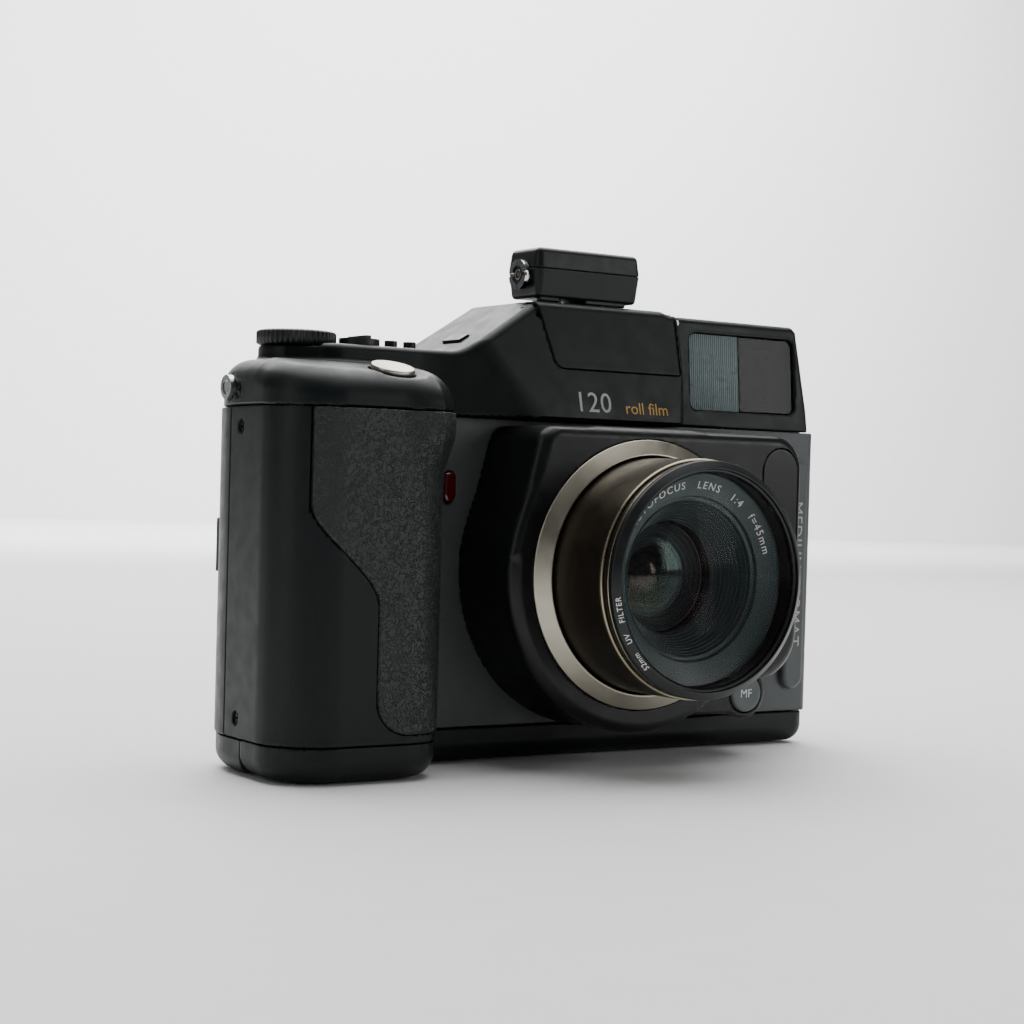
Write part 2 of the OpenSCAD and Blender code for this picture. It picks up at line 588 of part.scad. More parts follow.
module adapter_upper() color("#191b1c") difference() {
    union() {
        adapter_half(117.55, 121.4, 0, 0.5);
        adapter_half(121, 122.5, 0.7, 1.9);
    }
    box([-14, -10, 110], [11.4, -2, 120.6]);
    translate([-20, -6.5, 116]) rotate([0, 90, 0]) cylinder(r = 2.9, h = 6.6);
}
module sync_socket() color("#b9bab8") translate([-18.6, -6.5, 116]) rotate([0, 90, 0]) {
    difference() {
        union() {
            cylinder(r = 2.85, h = 6);
            cylinder(r = 3.7, h = 1.2);
        }
        translate([0, 0, -1]) cylinder(r = 2.2, h = 6);
        for (a = [0, 90]) rotate(a) box([-5, -0.45, -1], [5, 0.45, 0.5]);
    }
    translate([0, 0, 1.4]) cylinder(r = 1.5, h = 4);
    translate([0, 0, 0.3]) cylinder(r = 0.5, h = 2);
}

// ---------- controls ----------
module shutter_button() color("#b9b3a5") button_frame() {
    cylinder(r = 4.95, h = 1.3);
    translate([0, 0, -1]) cylinder(r = 4.4, h = 1.1);
    translate([0, 0, -6]) cylinder(r = 2, h = 5.1);
}
module mode_dial() color("#111213") translate([-75, -2, 0]) difference() {
    union() {
        translate([0, 0, deck_z - 0.6]) cylinder(r = 8.7, h = 3.5);
        for (a = [0:10:350]) rotate(a) translate([8.55, 0, deck_z - 0.5])
            cylinder(r = 0.55, h = 3.1, $fn = 16);
        translate([0, 0, deck_z - 6]) cylinder(r = 3.05, h = 6);
    }
    translate([0, 0, deck_z + 2.6]) cylinder(r = 7, h = 1);
}
module selector_disc() color("#111213") translate([-61.5, -7, 0]) {
    translate([0, 0, deck_z + 0.2]) cylinder(r = 4.7, h = 1.5);
    translate([0, 0, deck_z - 6]) cylinder(r = 2.05, h = 6.4);
    box([-0.7, -4.4, deck_z + 1.6], [0.7, 4.4, deck_z + 2.4]);
}
module top_key(x) translate([x, -4, deck_z - 5]) {
    cylinder(r = 1.5, h = 7);
    translate([0, 0, -0.8]) cylinder(r = 2.2, h = 0.9);
}
module exposure_button() color("#111213") top_key(-51.5);
module timer_button() color("#111213") top_key(-46.5);
module rear_controls() color("#0f1012") difference() {
    union() {
        box([-63.8, rear_y - 2.6, 83.6], [-30.2, rear_y + 0.3, 93.4]);
        box([-48, rear_y + 0.2, 84.6], [-32, rear_y + 0.8, 92.4]);
        for (x = [-60, -55, -50.6]) along_y(rear_y + 0.2, rear_y + 1.3, x - 0.4, 88.5, 1.7);
    }
    box([-46.8, rear_y + 0.5, 85.6], [-33.2, rear_y + 2, 91.4]);
}

// ---------- hardware ----------
module tripod_socket() color("#9fa1a0") difference() {
    union() {
        cylinder(r = 5.9, h = 7);
        translate([0, 0, 2]) cylinder(r = 8, h = 1.4);
    }
    translate([0, 0, -1]) cylinder(r = 3.175, h = 7);
}
module strap_lug() color("#c4c6c6") translate([left_x, -5.6, 85.2]) rotate([0, 90, 0]) {
    difference() {
        translate([0, 0, -0.9]) cylinder(r = 2.7, h = 1.4);
        translate([0, 0, -2]) cylinder(r = 1.7, h = 1.7);
    }
    translate([0, 0, -0.7]) cylinder(r = 1.15, h = 5);
}
module side_screws() color("#151617") for (p = [[-10.1, 84.5], [-12.1, 76.5], [-12.7, 12.5]])
    translate([left_x + 0.5, p[0], p[1]]) rotate([0, 90, 0]) difference() {
        union() {
            cylinder(r = 1.55, h = 1);
            cylinder(r = 0.8, h = 5);
        }
        for (a = [0, 90]) rotate(a) box([-1.1, -0.2, -1], [1.1, 0.2, 0.45]);
    }

// ---------- selection ----------
front_cover();
grip_cover();
grip_leather();
base_cover();
battery_door();
top_cover();
film_back();
back_latch();
back_hinge_pin();
pressure_plate();
pressure_springs();
film_chassis();
take_up_spool();
supply_spool();
spool_pins();
batteries();
main_board();
lens_motor();
flash_capacitor();
lens_housing();
bezel_ring();
guide_tube();
lens_barrel();
name_ring();
front_lens();
shutter_case();
shutter_blade_1();
shutter_blade_2();
shutter_blade_3();
shutter_blade_4();
shutter_blade_5();
rear_lens();
filter_ring();
filter_glass();
focus_window();
focus_button();
timer_lamp();
name_strip();
finder_window();
finder_screen();
finder_tube();
eyepiece();
flash_head();
flash_hinge_pin();
flash_lens();
flash_button();
accessory_shoe();
adapter_foot();
adapter_lower();
adapter_upper();
sync_socket();
shutter_button();
mode_dial();
selector_disc();
exposure_button();
timer_button();
rear_controls();
tripod_socket();
strap_lug();
side_screws();
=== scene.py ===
"""Looks of the autofocus roll-film camera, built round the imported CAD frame.

Shells are drawn as distance fields in millimetres, so their edges carry true
fillets, and are meshed by surface nets. Lens parts are turned profiles.
"""
import json
import math

import bmesh
import bpy
import numpy as np
from mathutils import Euler, Matrix, Vector


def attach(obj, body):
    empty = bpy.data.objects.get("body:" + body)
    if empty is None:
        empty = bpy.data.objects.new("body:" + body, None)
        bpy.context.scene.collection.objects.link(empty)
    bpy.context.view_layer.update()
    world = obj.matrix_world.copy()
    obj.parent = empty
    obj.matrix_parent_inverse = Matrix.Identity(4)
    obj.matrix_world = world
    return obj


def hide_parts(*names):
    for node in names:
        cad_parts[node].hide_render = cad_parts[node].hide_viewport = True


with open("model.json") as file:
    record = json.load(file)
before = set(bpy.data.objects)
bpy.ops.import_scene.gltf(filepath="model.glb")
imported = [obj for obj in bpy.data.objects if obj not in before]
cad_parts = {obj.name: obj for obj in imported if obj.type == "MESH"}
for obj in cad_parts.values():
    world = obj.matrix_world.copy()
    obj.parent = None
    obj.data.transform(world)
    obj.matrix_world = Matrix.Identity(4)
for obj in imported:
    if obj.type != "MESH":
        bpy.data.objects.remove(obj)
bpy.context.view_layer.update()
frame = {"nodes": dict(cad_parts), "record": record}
nodes = frame["nodes"]
MM = 0.001
TAU = 2 * math.pi

# ---------- sizes, in millimetres, as in the CAD model ----------
LEFT, RIGHT, FRONT, REAR = -93.0, 71.5, -14.0, 16.0
BASE_Z, SEAM_Z, DECK_Z, HUMP_Z = 8.0, 81.0, 96.0, 109.3
GRIP_Y, GRIP_X, SIDE_SEAM_Y = -36.0, -51.0, -7.0
CORNER_R = 23.0     # rear corner behind the grip
SEAM = 0.1          # half the gap at a panel seam
WALL = 2.0
AXIS_Z, HOUSING_Y, HOUSING_R = 45.0, -37.0, 37.5
LEAN_HUMP, LEAN_FINDER = math.radians(13.5), math.radians(5)
FLASH_FLOOR_Z = 93.2
HINGE = (69.9, -8.2)
FLASH_PIN = (-13.2, 106.8)
FOCUS_BUTTON = (39.0, 15.0)
WINDOW_X, WINDOW_Z, WINDOW_SPLIT = (30.2, 64.4), (4.4, 24.2), 46.2
RIB_PITCH = 0.64    # ribs of the bright-frame window
BUTTON_AT, BUTTON_TILT = (-63.5, -26.4, 89.8), math.radians(17)
DIAL_AT = (-75.0, -2.0)


# ---------- distance fields ----------
def arc(cx, cy, r, a0, a1, n=20):
    """Points along an arc, in degrees."""
    return [(cx + r * math.cos(math.radians(a0 + (a1 - a0) * i / n)),
             cy + r * math.sin(math.radians(a0 + (a1 - a0) * i / n))) for i in range(n + 1)]


def ease(t):
    return t * t * (3 - 2 * t)


def outline(points):
    """Signed distance to a closed 2-D outline, negative inside."""
    pts = np.array(points, float)

    def field(u, v):
        u, v = np.broadcast_arrays(u, v)
        best = np.full(u.shape, 1e9)
        inside = np.zeros(u.shape, bool)
        for (ax, ay), (bx, by) in zip(pts, np.roll(pts, -1, 0)):
            ex, ey = bx - ax, by - ay
            length = ex * ex + ey * ey
            if length < 1e-9:
                continue
            t = np.clip(((u - ax) * ex + (v - ay) * ey) / length, 0, 1)
            best = np.minimum(best, (u - ax - t * ex) ** 2 + (v - ay - t * ey) ** 2)
            if abs(ey) > 1e-9:
                inside ^= ((ay > v) != (by > v)) & (u < ex * (v - ay) / ey + ax)
        return np.where(inside, -1, 1) * np.sqrt(best)

    return field


def both(a, b, r=0.3):
    """Intersection with a fillet of radius r on the edge."""
    if r <= 0:
        return np.maximum(a, b)
    edge = np.sqrt(np.maximum(a + r, 0) ** 2 + np.maximum(b + r, 0) ** 2)
    return np.minimum(np.maximum(a, b), -r) + edge


def either(a, b, r=0.0):
    """Union with a fillet of radius r in the corner."""
    return -both(-a, -b, r)


def less(a, b, r=0.3):
    """a with b taken away."""
    return both(a, -b, r)


def block(low, high, r=0.0):
    """Box with rounded edges."""
    centre = [(a + b) / 2 for a, b in zip(low, high)]
    half = [(b - a) / 2 - r for a, b in zip(low, high)]

    def field(x, y, z):
        q = [abs(p - c) - h for p, c, h in zip((x, y, z), centre, half)]
        out = np.sqrt(sum(np.maximum(k, 0) ** 2 for k in q))
        return out + np.minimum(np.maximum(np.maximum(q[0], q[1]), q[2]), 0) - r

    return field


def rod_y(x, z, cx, cz, r):
    return np.hypot(x - cx, z - cz) - r


def pill(x, z, cx, z0, z1, r):
    return np.hypot(x - cx, z - np.clip(z, z0, z1)) - r


def turned(p, at, tilt, axis):
    """Coordinates in a frame at a point, tilted about X or Y."""
    x, y, z = (a - b for a, b in zip(p, at))
    c, s = math.cos(tilt), math.sin(tilt)
    if axis == "x":
        return x, y * c + z * s, z * c - y * s
    return x * c - z * s, y, z * c + x * s


# ---------- field to mesh ----------
def polygonise(field, low, high, step):
    """Surface nets: one vertex in each cell that the surface crosses."""
    ax = [np.arange(a, b + step, step) for a, b in zip(low, high)]
    value = field(ax[0][:, None, None], ax[1][None, :, None], ax[2][None, None, :])
    value = np.broadcast_to(value, [len(a) for a in ax]).copy()
    value[np.abs(value) < 1e-7] = 1e-7
    corner = {}
    for i in (0, 1):
        for j in (0, 1):
            for k in (0, 1):
                corner[i, j, k] = value[i:value.shape[0] - 1 + i, j:value.shape[1] - 1 + j,
                                        k:value.shape[2] - 1 + k]
    count = sum((c < 0).astype(np.int8) for c in corner.values())
    cell = np.argwhere((count > 0) & (count < 8))
    number = np.full(count.shape, -1, np.int64)
    number[tuple(cell.T)] = np.arange(len(cell))
    total, weight = np.zeros((len(cell), 3)), np.zeros(len(cell))
    at = {c: v[tuple(cell.T)] for c, v in corner.items()}
    for c in corner:
        for d in range(3):
            if c[d]:
                continue
            e = tuple(c[i] + (i == d) for i in range(3))
            a, b = at[c], at[e]
            hit = (a < 0) != (b < 0)
            t = np.where(hit, a / np.where(hit, a - b, 1), 0)
            point = np.tile(np.array(c, float), (len(cell), 1))
            point[:, d] += t
            total[hit] += point[hit]
            weight[hit] += 1
    verts = (total / weight[:, None] + cell) * step + np.array([a[0] for a in ax])
    faces = []
    for d in range(3):
        lo = [slice(1, -1)] * 3
        lo[d] = slice(0, -1)
        hi = list(lo)
        hi[d] = slice(1, None)
        a, b = value[tuple(lo)] < 0, value[tuple(hi)] < 0
        u, v = [k for k in range(3) if k != d]
        for flag, order in ((a & ~b, 1), (~a & b, -1)):
            idx = np.argwhere(flag)
            idx[:, u] += 1
            idx[:, v] += 1
            quad = []
            for du, dv in ((0, 0), (-1, 0), (-1, -1), (0, -1)):
                q = idx.copy()
                q[:, u] += du
                q[:, v] += dv
                quad.append(number[tuple(q.T)])
            quad = np.stack(quad, 1)
            if (order == 1) == (d == 1):
                quad = quad[:, ::-1]
            faces.append(quad)
    return verts, np.concatenate(faces)


def slope(field, p, eps=0.02):
    """The field's value and gradient at points."""
    value = field(*p.T)
    grad = np.empty_like(p)
    for d in range(3):
        q = p.copy()
        q[:, d] += eps
        grad[:, d] = (field(*q.T) - value) / eps
    return value, grad


def add_mesh(name, verts, faces, normals=None):
    mesh = bpy.data.meshes.new(name)
    mesh.from_pydata((np.asarray(verts) * MM).tolist(), [], np.asarray(faces).tolist()
                     if isinstance(faces, np.ndarray) else faces)
    mesh.polygons.foreach_set("use_smooth", [True] * len(mesh.polygons))
    if normals is not None:
        mesh.normals_split_custom_set_from_vertices(normals.tolist())
    obj = bpy.data.objects.new(name, mesh)
    bpy.context.scene.collection.objects.link(obj)
    return obj


def moulded(name, field, low, high, step, body, mat, replaces=()):
    """A piece meshed from a distance field."""
    verts, faces = polygonise(field, low, high, step)
    for _ in range(3):
        value, grad = slope(field, verts)
        size = np.maximum((grad ** 2).sum(1), 0.2)
        verts -= np.clip(value / size, -step / 2, step / 2)[:, None] * grad
    _, grad = slope(field, verts)
    normals = grad / np.maximum(np.linalg.norm(grad, axis=1), 1e-6)[:, None]
    obj = add_mesh(name, verts, faces, normals)
    return place(obj, body, mat, replaces)


def place(obj, body, mat, replaces=()):
    obj.data.materials.clear()
    obj.data.materials.append(mat)
    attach(obj, body)
    if replaces:
        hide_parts(*replaces)
    return obj


def soften(obj, width=0.12, angle=30):
    """Small bevels on hard edges."""
    bevel = obj.modifiers.new("bevel", "BEVEL")
    bevel.width, bevel.segments, bevel.limit_method = width * MM, 2, "ANGLE"
    bevel.angle_limit = math.radians(angle)
    bevel.harden_normals = False
    obj.modifiers.new("normals", "WEIGHTED_NORMAL").keep_sharp = True
    return obj


def turned_part(name, profile, body, mat, replaces=(), at=(0, AXIS_Z), segments=160, width=0.1,
                ridges=0, depth=0.0, ridged=()):
    """A profile of (radius, y) points turned about an axis along Y through (x, z)."""
    verts, faces = [], []
    n, m = segments, len(profile)
    for i in range(n):
        a = TAU * i / n
        for j, (r, y) in enumerate(profile):
            if j in ridged:
                r += depth * (0.5 + 0.5 * math.cos(ridges * a))
            verts.append((at[0] + r * math.cos(a), y, at[1] + r * math.sin(a)))
    for i in range(n):
        for j in range(m):
            a, b = i * m + j, i * m + (j + 1) % m
            c, d = ((i + 1) % n) * m + (j + 1) % m, ((i + 1) % n) * m + j
            faces.append((a, b, c, d))
    obj = add_mesh(name, verts, faces)
    bm_merge(obj)
    place(obj, body, mat, replaces)
    return soften(obj, width) if width else obj


def bm_merge(obj):
    """Joins points that fall together on the axis and turns faces outwards."""
    bm = bmesh.new()
    bm.from_mesh(obj.data)
    bmesh.ops.remove_doubles(bm, verts=bm.verts, dist=1e-6)
    bmesh.ops.recalc_face_normals(bm, faces=bm.faces)
    bm.to_mesh(obj.data)
    bm.free()


# ---------- materials ----------
def material(name, colour, rough, metal=0.0, grain=0.0, grain_size=0.15, speckle=0.0, rough_var=0.06,
             mottle=0.08, **sockets):
    """Principled finish with a fine surface grain and slow variation of tone and gloss."""
    mat = bpy.data.materials.new(name)
    mat.use_nodes = True
    tree = mat.node_tree
    shader = tree.nodes["Principled BSDF"]
    shader.inputs["Metallic"].default_value = metal
    for key, v in sockets.items():
        shader.inputs[SOCKET[key]].default_value = v
    coord = tree.nodes.new("ShaderNodeTexCoord").outputs["Object"]

    def noise(size_mm, detail=3):
        n = tree.nodes.new("ShaderNodeTexNoise")
        n.inputs["Scale"].default_value = 1 / (size_mm * MM)
        n.inputs["Detail"].default_value = detail
        tree.links.new(coord, n.inputs["Vector"])
        return n.outputs["Fac"]

    def spread(source, low, high, a=0.3, b=0.7):
        r = tree.nodes.new("ShaderNodeMapRange")
        for key, v in zip(("From Min", "From Max", "To Min", "To Max"), (a, b, low, high)):
            r.inputs[key].default_value = v
        tree.links.new(source, r.inputs["Value"])
        return r.outputs["Result"]

    def tint(fac, low, high):
        m = tree.nodes.new("ShaderNodeMix")
        m.data_type = "RGBA"
        tree.links.new(fac, m.inputs["Factor"])
        m.inputs["A"].default_value = (*low, 1)
        m.inputs["B"].default_value = (*high, 1)
        return m.outputs["Result"]

    tone = spread(noise(14, 2), 0, 1)
    base = tint(tone, [c * (1 - mottle) for c in colour], [c * (1 + mottle) for c in colour])
    if speckle:
        fleck = spread(noise(grain_size * 1.5, 2), 0, 1, 0.62, 0.72)
        m = tree.nodes.new("ShaderNodeMix")
        m.data_type = "RGBA"
        tree.links.new(fleck, m.inputs["Factor"])
        tree.links.new(base, m.inputs["A"])
        m.inputs["B"].default_value = (*[c + speckle for c in colour], 1)
        base = m.outputs["Result"]
    tree.links.new(base, shader.inputs["Base Color"])
    tree.links.new(spread(noise(4, 3), rough - rough_var, rough + rough_var), shader.inputs["Roughness"])
    if grain:
        b = tree.nodes.new("ShaderNodeBump")
        b.inputs["Strength"].default_value = 1
        b.inputs["Distance"].default_value = grain * MM
        tree.links.new(noise(grain_size, 2), b.inputs["Height"])
        tree.links.new(b.outputs["Normal"], shader.inputs["Normal"])
    return mat


SOCKET = {"coat": "Coat Weight", "specular": "Specular IOR Level", "film": "Thin Film Thickness",
          "film_ior": "Thin Film IOR", "alpha": "Alpha"}


def pebbled(name, colour):
    """Moulded rubber skin: worm-like pebbles with bright crests."""
    mat = material(name, colour, 0.46, rough_var=0.05)
    tree = mat.node_tree
    shader = tree.nodes["Principled BSDF"]
    coord = tree.nodes.new("ShaderNodeTexCoord")
    noise = tree.nodes.new("ShaderNodeTexNoise")
    noise.inputs["Scale"].default_value = 1 / (1.35 * MM)
    noise.inputs["Detail"].default_value = 1.5
    noise.inputs["Distortion"].default_value = 1.1
    fine = tree.nodes.new("ShaderNodeTexNoise")
    fine.inputs["Scale"].default_value = 1 / (0.35 * MM)
    tree.links.new(coord.outputs["Object"], noise.inputs["Vector"])
    tree.links.new(coord.outputs["Object"], fine.inputs["Vector"])
    ridge = tree.nodes.new("ShaderNodeMath")
    ridge.operation = "SUBTRACT"
    ridge.inputs[1].default_value = 0.5
    fold = tree.nodes.new("ShaderNodeMath")
    fold.operation = "ABSOLUTE"
    tree.links.new(noise.outputs["Fac"], ridge.inputs[0])
    tree.links.new(ridge.outputs[0], fold.inputs[0])
    level = tree.nodes.new("ShaderNodeMapRange")
    level.inputs["From Max"].default_value = 0.07
    level.inputs["To Min"].default_value, level.inputs["To Max"].default_value = 1.0, 0.0
    level.interpolation_type = "SMOOTHSTEP"
    tree.links.new(fold.outputs[0], level.inputs["Value"])
    add = tree.nodes.new("ShaderNodeMath")
    add.operation = "MULTIPLY_ADD"
    add.inputs[1].default_value = 0.18
    tree.links.new(fine.outputs["Fac"], add.inputs[0])
    tree.links.new(level.outputs["Result"], add.inputs[2])
    bump = tree.nodes.new("ShaderNodeBump")
    bump.inputs["Distance"].default_value = 0.3 * MM
    tree.links.new(add.outputs[0], bump.inputs["Height"])
    tree.links.new(bump.outputs["Normal"], shader.inputs["Normal"])
    return mat


M = {
    "shell": material("shell plastic", (0.004, 0.0062, 0.0063), 0.4, grain=0.006, grain_size=0.25,
                      specular=0.22),
    # Front panel: the shell's plastic with a much lighter base colour. The lighter colour is painted light
    # for the light falling on the front face; the speckle is the plastic's own.
    "panel": material("front panel plastic lightened as painted light", (0.06, 0.066, 0.067), 0.45, grain=0.01,
                      grain_size=0.3, speckle=0.01, specular=0.4),
    "housing": material("housing plastic", (0.0032, 0.0038, 0.004), 0.36, grain=0.006, grain_size=0.3,
                        specular=0.3),
    "leather": pebbled("grip leather", (0.007, 0.0088, 0.0092)),
    "grey": material("grey plastic", (0.075, 0.09, 0.092), 0.45, grain=0.006),
    "steel": material("bright steel", (0.55, 0.56, 0.56), 0.28, 1.0, grain=0.002),
    "spring": material("spring strip", (0.5, 0.47, 0.4), 0.3, 1.0, grain=0.002),
    "casting": material("painted casting", (0.012, 0.013, 0.014), 0.55, grain=0.02, grain_size=0.5),
    "spool": material("spool plastic", (0.02, 0.022, 0.024), 0.4, grain=0.005),
    "film": material("backing paper", (0.22, 0.2, 0.15), 0.7, grain=0.01, grain_size=0.4),
    "cell": material("cell wrap", (0.2, 0.21, 0.22), 0.35, 0.6, grain=0.003),
    "board": material("solder mask", (0.01, 0.07, 0.03), 0.35, grain=0.004, mottle=0.3),
    "motor": material("motor can", (0.4, 0.4, 0.42), 0.3, 1.0, grain=0.003),
    "capacitor": material("capacitor wrap", (0.012, 0.02, 0.05), 0.25, grain=0.002),
    "champagne": material("champagne metal", (0.46, 0.43, 0.35), 0.36, 1.0, grain=0.012,
                          grain_size=0.22, mottle=0.05),
    "bronze": material("bronze metal", (0.052, 0.043, 0.031), 0.34, 0.85, grain=0.004, grain_size=0.3),
    # Bright metal: the sync contact's own colour; on the barrel's front edges it is a painted highlight.
    "edge": material("bright metal and painted edge highlight", (0.34, 0.3, 0.22), 0.3, 1.0, grain=0.004),
    "black": material("black anodising", (0.011, 0.0125, 0.013), 0.36, 0.3, grain=0.003),
    "baffle": material("baffle black", (0.012, 0.034, 0.034), 0.4, grain=0.004),
    "blade": material("blade steel", (0.03, 0.032, 0.034), 0.4, 0.8, grain=0.003),
    "dark": material("dark window", (0.0028, 0.0032, 0.0038), 0.25, rough_var=0.02, specular=0.3),
    "red": material("red lamp", (0.055, 0.0015, 0.003), 0.1, rough_var=0.02, coat=0.6, mottle=0.3),
    "frosted": material("frosted window", (0.15, 0.19, 0.195), 0.3, grain=0.002),
    "inner": material("matt black", (0.006, 0.0065, 0.007), 0.7, grain=0.01),
    "rubber": material("moulded rubber", (0.009, 0.0095, 0.01), 0.62, grain=0.012, grain_size=0.35),
    "control": material("control plastic", (0.0075, 0.008, 0.0085), 0.4, grain=0.006),
    "button": material("button metal", (0.56, 0.52, 0.45), 0.33, 1.0, grain=0.004, grain_size=0.2),
    "adapter": material("adapter plastic", (0.005, 0.0066, 0.0068), 0.38, grain=0.012, grain_size=0.35,
                        specular=0.3),
    "chrome": material("nickel plate", (0.62, 0.63, 0.63), 0.16, 1.0, grain=0.002, rough_var=0.05),
    "screw": material("black screw", (0.012, 0.012, 0.013), 0.35, 0.7, grain=0.003),
    "flash": material("flash panel", (0.6, 0.63, 0.64), 0.15, grain=0.004, coat=0.5),
    "ink_grey": material("grey ink", (0.34, 0.35, 0.33), 0.5, grain=0.002),
    "ink_gold": material("gold ink", (0.5, 0.27, 0.03), 0.45, grain=0.002),
    "ink_white": material("white ink", (0.7, 0.72, 0.7), 0.5, grain=0.002),
}


def glass(name, colour, alpha, rough=0.02, **more):
    """Clear glass: mostly see-through, with the gloss of its coating."""
    return material(name, colour, rough, rough_var=0.005, mottle=0.03, alpha=alpha, **more)


M["lens"] = glass("coated lens glass", (0.004, 0.012, 0.011), 0.2, coat=1.0, film=410, film_ior=1.38)
M["deep"] = glass("deep lens glass", (0.006, 0.02, 0.016), 0.9, coat=1.0, film=480, film_ior=1.38)
M["filter"] = glass("filter glass", (0.03, 0.012, 0.016), 0.07)
M["finder"] = glass("finder glass", (0.01, 0.011, 0.01), 0.62, rough=0.06, specular=0.2)
M["finder_lens"] = glass("finder lens glass", (0.05, 0.035, 0.018), 0.8, coat=1.0, film=520,
                         film_ior=1.38)

SLOT_MATERIAL = {
    "body_plastic": "shell", "housing_plastic": "housing", "leather": "leather", "latch_grey": "grey",
    "steel": "steel", "springs": "spring", "chassis": "casting", "spool_plastic": "spool",
    "film_roll": "film", "cell": "cell", "board": "board", "motor": "motor",
    "capacitor": "capacitor", "champagne": "champagne", "bronze": "bronze", "black_metal": "black",
    "blade": "blade", "lens_glass": "lens", "filter_glass": "filter", "dark_window": "dark",
    "red_lamp": "red", "finder_glass": "finder", "frosted": "frosted", "flash_glass": "flash",
    "inner_black": "inner", "eyecup": "rubber", "control_black": "control",
    "button_metal": "button", "adapter_plastic": "adapter", "socket_chrome": "chrome",
    "screw_black": "screw"}
for part in frame["record"]["subparts"]:
    obj = nodes[part["node"]]
    obj.data.materials.clear()
    obj.data.materials.append(M[SLOT_MATERIAL[part["material_slot"]]])
    obj.data.polygons.foreach_set("use_smooth", [True] * len(obj.data.polygons))
    soften(obj, 0.1)


# ---------- outlines shared by the shells ----------
GRIP_PLAN = outline(arc(LEFT + CORNER_R, REAR - 1 - CORNER_R, CORNER_R, 90, 180, 40)
                    + arc(LEFT + 14, GRIP_Y + 14, 14, 180, 270, 32)
                    + arc(GRIP_X - 12, GRIP_Y + 12, 12, 270, 360, 32) + [(GRIP_X, REAR - 1)])
FRONT_PLAN = outline([(GRIP_X + 0.02, 30)] + arc(GRIP_X + 4, FRONT - 4, 4, 180, 90)
                     + arc(RIGHT - 3, FRONT + 3, 3, 270, 360) + [(RIGHT, 30)])
TOP_PLAN = outline([(-67, REAR - 1)] + arc(*DIAL_AT, 8.6, 110, 225) + arc(-69, FRONT + 7, 7.5, 225, 270)
                   + [(-50 + 33 * i / 40, FRONT - 0.5 - 7.5 * ease(i / 40)) for i in range(41)]
                   + arc(20, FRONT - 5.5, 2.5, 270, 330, 8) + [(27, FRONT)]
                   + arc(RIGHT - 4, FRONT + 3, 3, 270, 360) + arc(RIGHT - 4, REAR - 4, 3, 0, 90))
TOP_FACE = outline([(-95, SEAM_Z - 9), (-95, DECK_Z)] + arc(-42, DECK_Z + 9, 9, 270, 305)
                   + arc(-17.2, HUMP_Z - 3.5, 3.5, 130, 90)
                   + [(19, HUMP_Z), (21, HUMP_Z - 0.6), (RIGHT - 7, HUMP_Z - 0.8),
                      (RIGHT - 5.5, HUMP_Z - 2), (RIGHT - 0.6, SEAM_Z - 9)])
FLASH_FACE = outline([(-18.9, HUMP_Z + 5), (-18.6, HUMP_Z)] + arc(-12.4, FLASH_FLOOR_Z + 3, 3, 190, 270)
                     + [(22.4, FLASH_FLOOR_Z), (22.4, HUMP_Z + 5)])
HOUSING_SHOULDERS = outline([(-37.3, AXIS_Z + 4), (0, AXIS_Z - 10)] + arc(36, 31, 12, 270, 360)
                            + arc(39, 70.5, 9, 0, 90) + arc(-24.5, 73.5, 6, 90, 170))
LEATHER_FACE = outline([(-45, SEAM_Z + 0.2), (-86.5, SEAM_Z + 0.2), (-86.5, 60)]
                       + [(-86.5 + 15.8 * ease(i / 24), 60 - 22 * i / 24) for i in range(1, 25)]
                       + arc(-62.7, 18, 8, 180, 270) + [(-45, 10)])
BASE_PLAN = outline(arc(LEFT + CORNER_R, REAR - CORNER_R, CORNER_R - 0.4, 90, 180, 40)
                    + [(LEFT + 0.4, FRONT - 0.4)]
                    + arc(RIGHT - 5, FRONT + 4, 4.4, 270, 360) + arc(RIGHT - 5, REAR - 5, 4.6, 0, 90))
BACK_PLAN = outline(arc(LEFT + CORNER_R, REAR - CORNER_R, CORNER_R, 179.5, 90, 40)
                    + arc(RIGHT - 4.1, REAR - 4, 4, 90, 0) + [(RIGHT - 0.1, HINGE[1])])
ADAPTER_PLAN = outline(arc(-15, -1, 2, 90, 180) + arc(-15, -11, 2, 180, 270)
                       + arc(12, -11, 2, 270, 360) + arc(12, -1, 2, 0, 90))


def swell(x, z):
    """How far the grip's inner side bulges under the fingers."""
    reach = np.clip((x + 66) / 10, 0, 1)
    width = np.where(z < 77, 6.5, 14)
    return reach * reach * (0.3 + 2.6 * np.exp(-((z - 77) / width) ** 2))


def grip_side(x, y, z):
    return GRIP_PLAN(x, y) - swell(x, z)


# ---------- top cover ----------
def top_solid(x, y, z):
    ch, sh = math.cos(LEAN_HUMP), math.sin(LEAN_HUMP)
    cf, sf = math.cos(LEAN_FINDER), math.sin(LEAN_FINDER)
    hump = (z - SEAM_Z) * sh - (y - FRONT + 8) * ch
    finder = (z - SEAM_Z) * sf - (y - FRONT) * cf
    lean = both(hump, either(finder, x - 23.5 + 0 * z, 2.0), 0.6)
    return both(both(TOP_PLAN(x, y), lean, 1.0), TOP_FACE(x, z), 1.7)


def shelf(x, y, z):
    crown = 91.6 - 0.17 * np.maximum(-18 - y, 0)
    return both(grip_side(x, y, z), z - crown, 6.0)


def top_outer(x, y, z):
    return either(top_solid(x, y, z), shelf(x, y, z), 1.6)


def finder_frame(x, y, z):
    return turned((x, y, z), (0, FRONT, SEAM_Z), -LEAN_FINDER, "x")


def window_cut(x, y, z, inset=0.0):
    u, v, w = finder_frame(x, y, z)
    return block((WINDOW_X[0] + inset, -9, WINDOW_Z[0] + inset),
                 (WINDOW_X[1] - inset, 4, WINDOW_Z[1] - inset), 2.2)(u, v, w)


def shutter_frame(x, y, z):
    return turned((x, y, z), BUTTON_AT, BUTTON_TILT, "x")


def flash_button_frame(x, y, z):
    return turned((x, y, z), (-33.6, -4, 99.2), math.radians(-30), "y")


